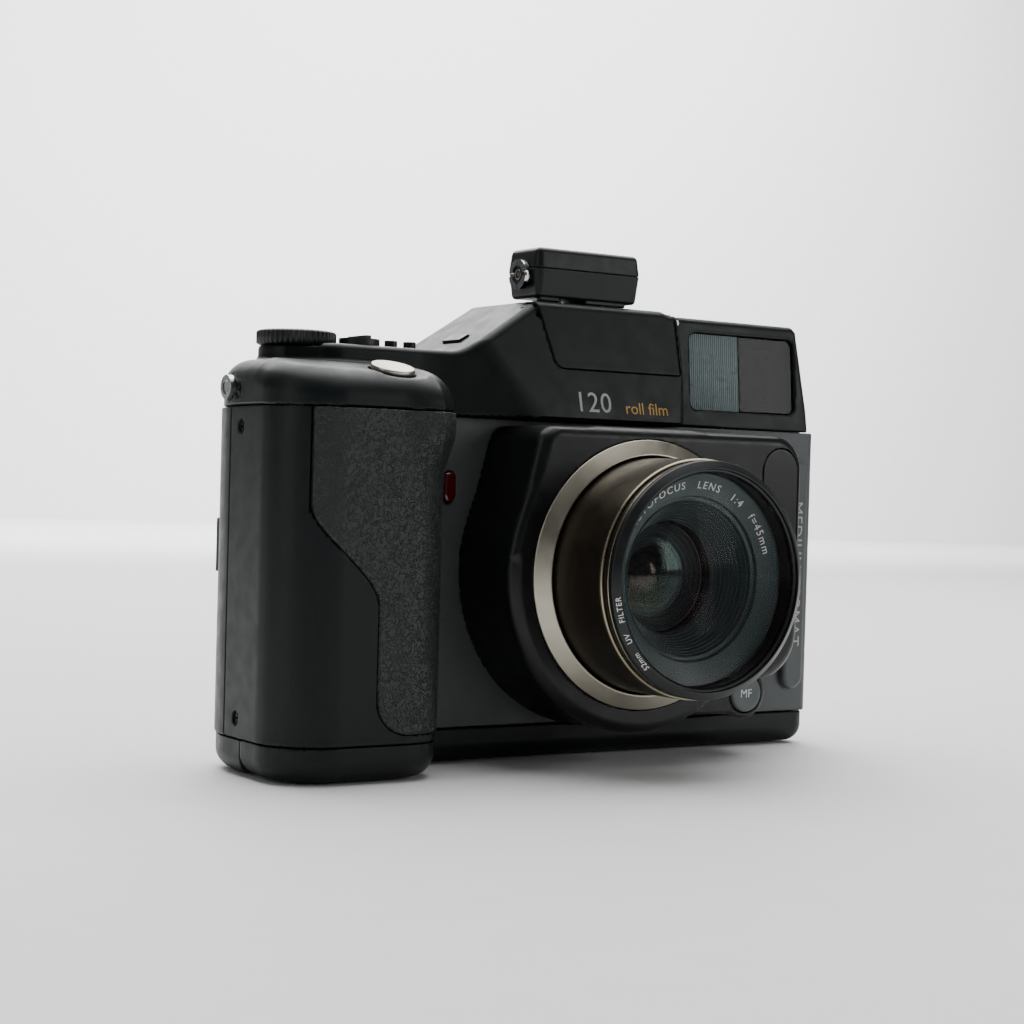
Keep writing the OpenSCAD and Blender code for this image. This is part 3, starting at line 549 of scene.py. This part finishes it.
def top_field(x, y, z):
    body = top_outer(x, y, z)
    shell = both(both(body, -(body + WALL), 0), SEAM_Z + SEAM - z, 0.25)
    solids = both(body, block((-14, -12, 103.4), (14, REAR - 1, 112))(x, y, z), 0)
    solids = either(solids, both(body, block((-21, -40, 91.6), (26, -9.6, 112))(x, y, z), 0))
    field = either(shell, solids)
    u, v, w = shutter_frame(x, y, z)
    dish = np.sqrt(u * u + v * v + (w - 30.6) ** 2) - 31.2
    well = np.maximum(np.hypot(u, v) - 5.3, np.abs(w - 2) - 10)
    field = less(less(field, np.maximum(dish, np.hypot(u, v) - 8), 0.4), well, 0.3)
    field = less(field, both(FLASH_FACE(x, z), y + 11.3, 0), 0.2)
    pin = np.hypot(y - FLASH_PIN[0], z - FLASH_PIN[1])
    field = less(field, both(pin - 2.9, np.abs(x - 1.7) - 20.7, 0), 0.1)
    field = less(field, block((-11.2, -9.4, 105), (11.2, REAR + 4, 115))(x, y, z), 0.3)
    field = less(field, window_cut(x, y, z), 0.5)
    field = less(field, block((46.9, REAR - 7, 87.4), (63.1, REAR + 9, 102.6), 1)(x, y, z), 0.4)
    field = less(field, block((-64, REAR - 3, 83.4), (-30, REAR + 9, 93.6), 0.8)(x, y, z), 0.4)
    hub = np.hypot(x - DIAL_AT[0], y - DIAL_AT[1])
    field = less(field, np.maximum(hub - 9.7, DECK_Z - 0.8 - z), 0.3)
    field = less(field, np.maximum(hub - 3.1, 87 - z), 0.2)
    field = less(field, np.maximum(np.hypot(x + 61.5, y + 7) - 2.1, 87 - z), 0.2)
    for key_x in (-51.5, -46.5):
        field = less(field, np.maximum(np.hypot(x - key_x, y + 4) - 1.8, 87 - z), 0.2)
    field = less(field, block((-1.6, -4.1, -9), (1.6, 4.1, 9), 0.3)(*flash_button_frame(x, y, z)), 0.3)
    field = less(field, np.maximum(np.hypot(y + 10.1, z - 84.5) - 1.6, x - LEFT - 8), 0.15)
    return less(field, np.maximum(np.hypot(y + 5.6, z - 85.2) - 2.9, x - LEFT - 0.7), 0.15)


moulded("top_shell", top_field, (-95, -38, 80.2), (73, 18, 111), 0.62, "body", M["shell"], ["top_cover"])


# ---------- middle shells ----------
def between(z):
    """Height of the middle shells, less half a gap at each seam."""
    return both(BASE_Z + SEAM - z, z - SEAM_Z + SEAM, 0)


def front_field(x, y, z):
    field = both(both(FRONT_PLAN(x, y), y + 9.85, 0), between(z) + 0 * x, 0.25)
    field = less(field, np.maximum(np.maximum(FRONT + WALL - y, x - RIGHT + WALL), GRIP_X + 1.2 - x), 0)
    field = less(field, rod_y(x, z, 0, AXIS_Z, 31) + 0 * y, 0.2)
    return less(field, pill(x, z, -40.8, 62.6, 66.2, 1.85) + 0 * y, 0.3)


def leather_zone(x, y, z, out, clear):
    side = grip_side(x, y, z)
    skin = both(side - out, -(side + 0.8), 0)
    return both(both(skin, LEATHER_FACE(x, z) + clear, 0), y + 18.5 + clear, 0)


def grip_field(x, y, z):
    side = grip_side(x, y, z)
    field = both(both(side, y - SIDE_SEAM_Y + SEAM, 0), between(z), 0.25)
    field = less(field, side + WALL, 0)
    field = less(field, leather_zone(x, y, z, 3, 0), 0.1)
    field = less(field, block((GRIP_X - 5, FRONT - 1.9, 0), (10, 30, 99))(x, y, z), 0)
    for screw_y, screw_z in ((-12.1, 76.5), (-12.7, 12.5)):
        field = less(field, np.maximum(np.hypot(y - screw_y, z - screw_z) - 1.6, x - LEFT - 8), 0.15)
    return field


def leather_field(x, y, z):
    side = grip_side(x, y, z)
    skin = both(side - 0.35, -(side + 0.78), 0)
    edge = both(LEATHER_FACE(x, z) + 0.12, y + 18.6, 0.5)
    return both(both(skin, z - SEAM_Z + 0.15, 0), edge, 0.4)


# The front shell takes the front panel plastic, whose lighter colour is painted light.
moulded("front_shell", front_field, (-55, -20, 7.5), (73, -9, 81.5), 0.6, "body", M["panel"], ["front_cover"])
moulded("grip_shell", grip_field, (-94, -37, 7.5), (-44, -6, 81.5), 0.55, "body", M["shell"], ["grip_cover"])
moulded("grip_skin", leather_field, (-88, -38, 9), (-44, -17, 82), 0.42, "body", M["leather"],
        ["grip_leather"])


# ---------- base and film back ----------
def base_field(x, y, z):
    body = both(BASE_PLAN(x, y), -z + 0 * x, 4.5)
    field = both(body, z - BASE_Z + SEAM, 0.25)
    field = less(field, block((-74, FRONT + 3.5, 2), (64, REAR - 4.5, 20))(x, y, z), 0)
    field = less(field, both(rod_y(x, z, 0, AXIS_Z, HOUSING_R + 0.15), y - FRONT - 0.1, 0), 0)
    field = less(field, both(np.hypot(y + 15, z - 0.9) - 1.5, x - GRIP_X - 1, 0), 0.1)
    return less(field, np.hypot(x, y) - 6.0 + 0 * z, 0.2)


def hatch_field(x, y, z):
    side = both(grip_side(x, y, np.full_like(z, BASE_Z)) + 0.3, y - FRONT + 0.7, 0.3)
    field = both(both(side, -z + 0 * x, 5.0), z - BASE_Z + SEAM, 0.25)
    axle = both(np.hypot(y + 15, z - 0.9) - 0.8, np.abs(x + 72.5) - 12.5, 0.1)
    return either(less(field, both(side + 6, 3 - z, 0), 0.5), axle)


def latch_frame(x, y, z):
    """On the rounded rear corner: u inwards, v along the surface."""
    c, s = math.cos(math.radians(33.9)), math.sin(math.radians(33.9))
    dx, dy = x - LEFT - CORNER_R, y - REAR + CORNER_R
    return dx * c - dy * s + CORNER_R, dx * s + dy * c, z


def back_field(x, y, z):
    side = both(BACK_PLAN(x, y), HINGE[1] - y, 0)
    field = both(side, between(z), 0.25)
    field = less(field, np.maximum(side + WALL, -10 + 0 * z), 0)
    field = less(field, block((LEFT + WALL, -12, 0), (RIGHT - 3.4, SIDE_SEAM_Y + 2.4, 99))(x, y, z), 0)
    knuckle = both(np.hypot(x - HINGE[0], y - HINGE[1]) - 1.5, between(z), 0.2)
    field = less(either(field, knuckle), np.hypot(x - HINGE[0], y - HINGE[1]) - 0.75 + 0 * z, 0)
    u, v, w = latch_frame(x, y, z)
    field = less(field, block((-1, -4, 34.8), (0.8, 4, 61.5), 0.4)(u, v, w), 0.5)
    field = less(field, block((-1, -1.6, 40), (4, 1.6, 57))(u, v, w), 0.1)
    for post in (-16, 16):
        stud = both(rod_y(x, z, post, AXIS_Z, 2.5), both(12.8 - y, y - 14.1, 0), 0)
        field = less(either(field, stud), both(rod_y(x, z, post, AXIS_Z, 1.2), y - 14.9, 0), 0)
    return field


moulded("base_shell", base_field, (-94, -15.5, -0.6), (73, 17, 8.6), 0.6, "body", M["shell"], ["base_cover"])
moulded("battery_hatch_shell", hatch_field, (-94, -37, -0.6), (-48, -14, 8.6), 0.5, "battery_hatch",
        M["shell"], ["battery_door"])
moulded("back_shell", back_field, (-94, -10.5, 7.5), (73, 17, 81.5), 0.7, "back", M["shell"], ["film_back"])


# ---------- lens housing ----------
def housing_face(x, z):
    face = either(rod_y(x, z, 0, AXIS_Z, HOUSING_R), HOUSING_SHOULDERS(x, z), 1)
    return both(face, z - 79.5, 1)


def housing_field(x, y, z):
    face = housing_face(x, z)
    field = both(both(face, HOUSING_Y - y, 3.0), y - FRONT, 0)
    lobe = either(rod_y(x, z, *FOCUS_BUTTON, 6.4), block((20, -90, 10), (39, 90, 21), 3)(x, 0 * y, z), 1)
    lobe = both(both(lobe, -27.4 - y, 1.0), y - FRONT, 0)
    field = either(field, lobe, 1.5)
    inner = both(both(face + 2.2, -34.8 - y, 0.5), np.minimum(y, 0), 0)
    field = less(field, inner, 0.3)
    field = less(field, rod_y(x, z, 0, AXIS_Z, 29.6) + 0 * y, 0.2)
    field = less(field, both(rod_y(x, z, 0, AXIS_Z, 31.75), y - HOUSING_Y - 1, 0), 0.25)
    field = less(field, both(pill(x, z, 40.4, 52.7, 70.4, 5.7), y - HOUSING_Y - 1.6, 0), 0.25)
    field = less(field, both(rod_y(x, z, *FOCUS_BUTTON, 4.95), y + 25.2, 0), 0.3)
    return less(field, rod_y(x, z, *FOCUS_BUTTON, 2.1) + 0 * y, 0)


def pill_piece(name, cx, z0, z1, r, y0, y1, edge, body, mat, step, replaces):
    def field(x, y, z):
        return both(both(pill(x, z, cx, z0, z1, r), y0 - y, edge), y - y1, 0)
    return moulded(name, field, (cx - r - 1, y0 - 1, z0 - r - 1), (cx + r + 1, y1 + 1, z1 + r + 1), step,
                   body, mat, replaces)


moulded("housing_shell", housing_field, (-39, -38, 6), (50, -13.2, 81), 0.6, "body", M["housing"],
        ["lens_housing"])
pill_piece("focus_pane", 40.4, 52.7, 70.4, 5.55, HOUSING_Y + 0.15, HOUSING_Y + 1.55, 0.3, "body",
           M["dark"], 0.35, ["focus_window"])
pill_piece("lamp_cap", -40.8, 62.6, 66.2, 1.75, FRONT - 1, FRONT + 0.2, 0.9, "body", M["red"], 0.16,
           ["timer_lamp"])
# The side strip takes the front panel plastic too, with the same painted light.
pill_piece("side_strip", 64.4, 17.5, 70.3, 3.5, FRONT - 2, FRONT, 1.3, "body", M["panel"], 0.35,
           ["name_strip"])


# ---------- lens ----------
def bezel():
    turned_part("bezel", [(27.8, -36.2), (31.68, -36.2), (31.68, -37.05), (31.5, -37.35), (28.5, -39.15),
                          (28.1, -39.25), (27.85, -39.0)],
                "body", M["champagne"], ["bezel_ring"], segments=240, width=0.1)


def barrel():
    """Sleeve with a lip and a groove; thin bright turned rings in front paint the highlight lines on its
    edges.
    """
    turned_part("barrel_sleeve", [(24.8, -24), (24.8, -56), (25.6, -56), (25.6, -57.3), (27.05, -57.3),
                                  (27.05, -56.9), (27.4, -56.6), (27.4, -15.2), (25.4, -15.2),
                                  (25.4, -23.4)], "lens", M["bronze"], ["lens_barrel"],
                segments=200, width=0.08)
    # Thin bright ring: painted highlight line on the sleeve's front edge.
    turned_part("barrel_edge_painted_highlight", [(26.9, -56.75), (27.42, -56.75), (27.42, -57.15), (27.2, -57.4),
                                (26.9, -57.4)], "lens", M["edge"], segments=200, width=0.05)
    turned_part("barrel_nose", [(25.6, -57.2), (26.75, -57.2), (26.75, -58.7), (26.5, -59.1), (25.6, -59.1)],
                "lens", M["bronze"], segments=200, width=0.1)
    # Thin bright ring: painted highlight line on the nose's front edge.
    turned_part("nose_edge_painted_highlight", [(26.3, -58.75), (26.8, -58.75), (26.8, -58.95), (26.62, -59.12),
                              (26.3, -59.12)], "lens", M["edge"], segments=200, width=0.03)


def filter_and_glass():
    turned_part("filter_rim", [(24.6, -56.7), (25.54, -56.7), (25.54, -59.3), (26.8, -59.3), (27.0, -59.5),
                               (27.0, -60.7), (26.85, -60.95), (25.35, -61.98), (25.15, -61.9),
                               (25.1, -60.3), (24.2, -60.3), (24.2, -59.5), (24.6, -59.1)], "filter",
                M["black"], ["filter_ring"], segments=240, width=0.04)
    turned_part("filter_retainer", [(24.25, -60.8), (24.9, -61.35), (25.15, -61.3), (25.15, -60.85),
                                    (24.7, -60.75)], "filter", M["black"], segments=720, width=0,
                ridges=180, depth=-0.12, ridged=(0, 1))
    turned_part("filter_pane", [(0, -60.3), (25.05, -60.3), (25.05, -60.75), (24.9, -60.9), (0, -60.9)],
                "filter", M["filter"], ["filter_glass"], segments=128, width=0)


def lens_inside():
    """Name ring, stepped baffle with fine ribs, and the coated groups."""
    profile = [(24.5, -44.4), (24.5, -56.3), (23.9, -56.4), (19.6, -54.9), (18.9, -54.7), (18.7, -53.7)]
    r, y = 18.0, -53.4
    for step in range(9):
        profile += [(r, y), (r - 0.06, y - 0.3), (r - 0.24, y - 0.3), (r - 0.3, y + 0.5)]
        r, y = r - 0.54, y + 0.92
    profile += [(13.0, -45.2), (13.0, -44.4)]
    turned_part("name_cone", profile, "lens", M["baffle"], ["name_ring"], segments=200, width=0.05)
    front = [(12.9 * i / 20, -20.4 - math.sqrt(26 ** 2 - (12.9 * i / 20) ** 2)) for i in range(21)]
    hollow = [(12.9 * i / 20, -14.6 - math.sqrt(30 ** 2 - (12.9 * i / 20) ** 2))
              for i in range(20, -1, -1)]
    turned_part("front_element", front + hollow, "lens", M["lens"], ["front_lens"], segments=128, width=0)
    rings = [(12.9, -41.4)]
    for step in range(6):
        r, y = 12.4 - 0.95 * step, -41.8 + 0.62 * step
        rings += [(r, y), (r - 0.1, y - 0.25), (r - 0.35, y - 0.25), (r - 0.45, y + 0.4)]
    turned_part("lens_cell", rings + [(6.8, -37.4), (12.9, -37.4)], "lens", M["baffle"], segments=200,
                width=0.03)
    deep = [(6.85 * i / 16, -30.2 - math.sqrt(9.5 ** 2 - (6.85 * i / 16) ** 2)) for i in range(17)]
    turned_part("second_element", deep + [(6.85, -36.6), (0, -36.6)], "lens", M["deep"], segments=96,
                width=0)


bezel()
barrel()
filter_and_glass()
lens_inside()


# ---------- front fittings ----------
def focus_key():
    turned_part("focus_cap", [(0, -27.75), (3.4, -27.8), (4.2, -27.95), (4.6, -27.7), (4.7, -27.2),
                              (4.7, -26.2), (1.8, -26.2), (1.8, -20), (0, -20)], "focus_key", M["grey"],
                ["focus_button"], at=FOCUS_BUTTON, segments=96, width=0)


def finder_panes():
    """Ribbed bright-frame window, clear window and the lens behind it."""
    def screen(x, y, z):
        u, v, w = finder_frame(x, y, z)
        plate = block((WINDOW_X[0] + 0.15, 0.8, WINDOW_Z[0] + 0.15),
                      (WINDOW_SPLIT - 0.1, 2.2, WINDOW_Z[1] - 0.15), 0.1)(u, v, w)
        ribs = 0.11 * np.cos(TAU * u / RIB_PITCH) - 0.05
        return both(both(plate - 0.12, 0.86 - v - ribs, 0.1), window_cut(x, y, z, 0.15), 0.1)

    def pane(x, y, z):
        u, v, w = finder_frame(x, y, z)
        plate = block((WINDOW_SPLIT + 0.05, 0.8, WINDOW_Z[0] + 0.15),
                      (WINDOW_X[1] - 0.15, 2.1, WINDOW_Z[1] - 0.15), 0.2)
        return both(plate(u, v, w), window_cut(x, y, z, 0.15), 0.2)

    moulded("bright_window", screen, (29.6, -14.2, 84.8), (46.8, -8, 105.6), 0.2, "body", M["frosted"],
            ["finder_screen"])
    moulded("clear_window", pane, (45.6, -14.2, 84.8), (65, -8, 105.6), 0.4, "body", M["finder"],
            ["finder_window"])
    turned_part("finder_lens_cell", [(5.6, -5.2), (7.6, -5.2), (7.6, -4.2), (5.9, -4.2)], "body", M["inner"],
                at=(55, 95), segments=96)
    bulge = [(5.8 * i / 12, -5.0 + 1.2 * (i / 12) ** 2) for i in range(13)]
    turned_part("finder_lens", bulge + [(5.8, -3.2), (0, -3.2)], "body", M["finder_lens"], at=(55, 95),
                segments=72, width=0)


def inscribe(name, text, size, body, mat, lay, spacing=1.0):
    """Thin lettering in Blender's own face, laid on a surface by lay(u, v, w) in millimetres."""
    curve = bpy.data.curves.new(name, "FONT")
    curve.body, curve.size, curve.extrude, curve.resolution_u = text, size, 0.02, 3
    curve.space_character = spacing
    holder = bpy.data.objects.new(name, curve)
    bpy.context.scene.collection.objects.link(holder)
    mesh = bpy.data.meshes.new_from_object(holder.evaluated_get(bpy.context.evaluated_depsgraph_get()))
    bpy.data.objects.remove(holder)
    points = np.empty(len(mesh.vertices) * 3)
    mesh.vertices.foreach_get("co", points)
    points = points.reshape(-1, 3)
    middle = (points[:, 0].min() + points[:, 0].max()) / 2
    moved = np.stack(lay(points[:, 0] - middle, points[:, 1], points[:, 2]), 1)
    mesh.vertices.foreach_set("co", (moved * MM).ravel())
    obj = bpy.data.objects.new(name, mesh)
    bpy.context.scene.collection.objects.link(obj)
    return place(obj, body, mat)


def round_ring(angle, radius, y, slope_in=0.0):
    """Letters standing on a ring about the lens axis, their feet inwards; angle is from the top."""
    def lay(u, v, w):
        a = math.radians(angle) + u / radius
        r = radius + v * math.cos(slope_in)
        return r * np.sin(a), y - w + v * math.sin(slope_in), AXIS_Z + r * np.cos(a)
    return lay


def on_hump(x0, z0):
    """Letters on the leaning front of the top cover, their baseline at height z0."""
    def lay(u, v, w):
        z = z0 + v * math.cos(LEAN_HUMP)
        return x0 + u, FRONT - 8 + (z - SEAM_Z) * math.tan(LEAN_HUMP) - w - 0.01, z
    return lay


def lettering():
    """Generic wording in the places that carry wording: size of film, lens data, filter size."""
    inscribe("film_mark", "120", 7.0, "body", M["ink_grey"], on_hump(-4.6, 83.2), 1.05)
    inscribe("film_word", "roll film", 4.2, "body", M["ink_gold"], on_hump(10.6, 83.2))
    cone = math.atan2(1.5, 4.3)
    inscribe("lens_data", "AUTOFOCUS   LENS   1:4   f=45mm", 2.5, "lens", M["ink_white"],
             round_ring(8, 20.7, -55.38, -cone), 1.25)
    inscribe("filter_size", "52mm    UV    FILTER", 1.75, "filter", M["ink_white"],
             round_ring(-118, 25.5, -61.92, math.atan2(1.03, 1.5)), 1.15)
    x, z = FOCUS_BUTTON
    inscribe("focus_mark", "MF", 3.0, "focus_key", M["ink_white"],
             lambda u, v, w: (x + u, -27.86 - w, z - 1.05 + v))
    inscribe("side_words", "MEDIUM FORMAT", 4.4, "body", M["ink_grey"],
             lambda u, v, w: (64.4 - 1.5 + v, FRONT - 2.02 - w, 44 - u), 1.1)


focus_key()
finder_panes()
lettering()


# ---------- flash ----------
def flash_field(x, y, z):
    field = both(both(top_solid(x, y, z), FLASH_FACE(x, z) + 0.15, 0.25), y + 11.6, 0.3)
    field = both(field, np.minimum(y + 12.6, FLASH_FLOOR_Z + 1 - z), 0)
    pin = np.hypot(y - FLASH_PIN[0], z - FLASH_PIN[1])
    field = both(field, np.minimum(np.minimum(pin - 2.5, z - FLASH_PIN[1]), y - FLASH_PIN[0]), 0)
    field = less(field, block((-12.5, -17.2, 90), (20.5, -13.2, 95.6))(x, y, z), 0.15)
    return less(field, block((-12.5, -16, 90), (20.5, -13.2, 100))(x, y, z), 0.15)


moulded("flash_shell", flash_field, (-20, -23, 92.5), (24, -11, 111), 0.42, "flash", M["shell"],
        ["flash_head"])


# ---------- adapter in the shoe ----------
def adapter_half(z0, z1, flare_low, flare_high, top_edge):
    def field(x, y, z):
        t = np.clip((z - z0) / (z1 - z0), 0, 1)
        side = ADAPTER_PLAN(x, y) + flare_low * (1 - t) + flare_high * t
        body = both(side, z0 - z, 0.3 if top_edge > 0 else 0.9)
        body = both(body, z - z1, top_edge if top_edge > 0 else 0.2)
        body = less(body, block((-14, -10, 112), (11.4, -2, 120.6))(x, y, z), 0)
        socket = both(np.hypot(y + 6.5, z - 116) - 2.9, x + 13.4, 0)
        if top_edge <= 0:
            for leg in ((-15.2, -9.6), (-2, 10)):
                body = either(body, block((leg[0], -11.8, 109.6), (leg[1], -9.8, 111), 0.2)(x, y, z))
            body = less(body, block((-6.05, -9.8, 100), (6.05, 3, 110.72))(x, y, z), 0)
        return less(body, socket, 0.1)
    return field


moulded("adapter_tray", adapter_half(110.5, 117.45, 0.9, 0, -1), (-18, -14, 108.6), (15, 2, 118), 0.4,
        "adapter", M["adapter"], ["adapter_lower"])
moulded("adapter_cap", adapter_half(117.55, 122.5, 0, 0.7, 1.2), (-18, -14, 117), (15, 2, 123), 0.4,
        "adapter", M["adapter"], ["adapter_upper"])


def sync_core():
    """Insulator and inner contact of the sync socket."""
    for name, r0, r1, x0, x1, mat in (("sync_insulator", 0.55, 2.15, -18.2, -14, "inner"),
                                      ("sync_contact", 0.95, 1.25, -18.45, -17, "edge")):
        obj = turned_part(name, [(r0, x1), (r1, x1), (r1, x0), (r0, x0)], "adapter", M[mat], at=(0, 0),
                          segments=64, width=0.04)
        obj.data.transform(Matrix.Translation((0, -6.5 * MM, 116 * MM))
                           @ Matrix.Rotation(math.radians(-90), 4, "Z"))


sync_core()


# ---------- controls ----------
def shutter_key():
    """Dished metal disc tilted with the grip."""
    profile = [(0, 0.7), (2.4, 0.76), (4.0, 0.98), (4.5, 1.1), (4.8, 1.05), (4.92, 0.8), (4.92, 0),
               (4.4, -1), (2, -1), (2, -6), (0, -6)]
    obj = turned_part("shutter_cap", profile, "release", M["button"], ["shutter_button"], at=(0, 0),
                      segments=128, width=0)
    place_turned(obj, BUTTON_AT, BUTTON_TILT)


def place_turned(obj, at, tilt=0.0):
    """Stands a part turned about Y upright at a point, tilted about X."""
    stand = Matrix(((1, 0, 0, 0), (0, 0, -1, 0), (0, 1, 0, 0), (0, 0, 0, 1)))
    obj.data.transform(Matrix.Translation(Vector(at) * MM) @ Matrix.Rotation(tilt, 4, "X") @ stand)


def dial():
    """Coarsely knurled dial with a dished top."""
    z = DECK_Z - 0.8
    profile = [(0, z + 3.35), (6.6, z + 3.35), (7.0, z + 3.6), (7.9, z + 3.7), (8.4, z + 3.5), (8.7, z + 3.1),
               (8.7, z + 0.7), (8.3, z + 0.2), (3.05, z + 0.2), (3.05, z - 5), (0, z - 5)]
    obj = turned_part("dial_cap", profile, "dial", M["control"], ["mode_dial"], at=(0, 0), segments=528,
                      width=0, ridges=44, depth=0.38, ridged=(4, 5, 6))
    place_turned(obj, (DIAL_AT[0], DIAL_AT[1], 0))


shutter_key()
dial()


# ---------- stage, light and camera ----------
def studio():
    """Pale sweep and soft boxes."""
    bpy.ops.mesh.primitive_plane_add(size=6, location=(0, 0.5, -0.0004))
    floor = bpy.context.object
    floor.name = "floor"
    floor.data.materials.append(material("pale floor", (0.9, 0.9, 0.9), 0.7, mottle=0.01))
    bpy.ops.mesh.primitive_plane_add(size=6, location=(0.9, 2.2, 0.5),
                                     rotation=(math.radians(90), 0, math.radians(-33)))
    wall = bpy.context.object
    wall.name = "backdrop"
    wall.data.materials.append(floor.data.materials[0])
    for name, at, aim, size, power in (
            ("top box", (0.15, -0.1, 0.9), (0, 0, 0.05), (0.9, 0.7), 3.4),
            ("left strip", (-0.75, -0.12, 0.35), (0, 0, 0.06), (0.22, 0.7), 0.8),
            ("front box", (0.75, -0.85, 0.35), (0, 0, 0.06), (0.4, 0.5), 2.6),
            ("floor light", (0.2, 0.9, 1.1), (0.15, 0.9, 0), (2.0, 1.4), 40),
            ("back light", (0.6, 1.5, 1.0), (0.75, 2.3, 0.5), (2.0, 1.2), 42)):
        lamp = bpy.data.lights.new(name, "AREA")
        lamp.shape, lamp.size, lamp.size_y, lamp.energy = "RECTANGLE", *size, power
        obj = bpy.data.objects.new(name, lamp)
        obj.location = at
        obj.rotation_euler = (Vector(aim) - Vector(at)).to_track_quat("-Z", "Y").to_euler()
        bpy.context.scene.collection.objects.link(obj)
    world = bpy.data.worlds.new("world")
    bpy.context.scene.world = world
    world.use_nodes = True
    world.node_tree.nodes["Background"].inputs["Color"].default_value = (0.9, 0.93, 0.96, 1)
    world.node_tree.nodes["Background"].inputs["Strength"].default_value = 0.1


def camera():
    azimuth, elevation, roll = (math.radians(v) for v in (-33.85, 1.29, 1.6))
    back = Vector((math.sin(azimuth) * math.cos(elevation), -math.cos(azimuth) * math.cos(elevation),
                   math.sin(elevation)))
    right = Vector((math.cos(azimuth), math.sin(azimuth), 0))
    up = back.cross(right)
    turned_right = right * math.cos(roll) + up * math.sin(roll)
    turned_up = up * math.cos(roll) - right * math.sin(roll)
    data = bpy.data.cameras.new("camera")
    data.lens, data.sensor_width = 71.7, 36
    data.shift_x, data.shift_y = -0.032, 0.0183
    data.clip_start = 0.01
    obj = bpy.data.objects.new("camera", data)
    obj.matrix_world = Matrix((
        (turned_right.x, turned_up.x, back.x, -0.2861), (turned_right.y, turned_up.y, back.y, -0.4204),
        (turned_right.z, turned_up.z, back.z, 0.0655), (0, 0, 0, 1)))
    bpy.context.scene.collection.objects.link(obj)
    bpy.context.scene.camera = obj


studio()
camera()
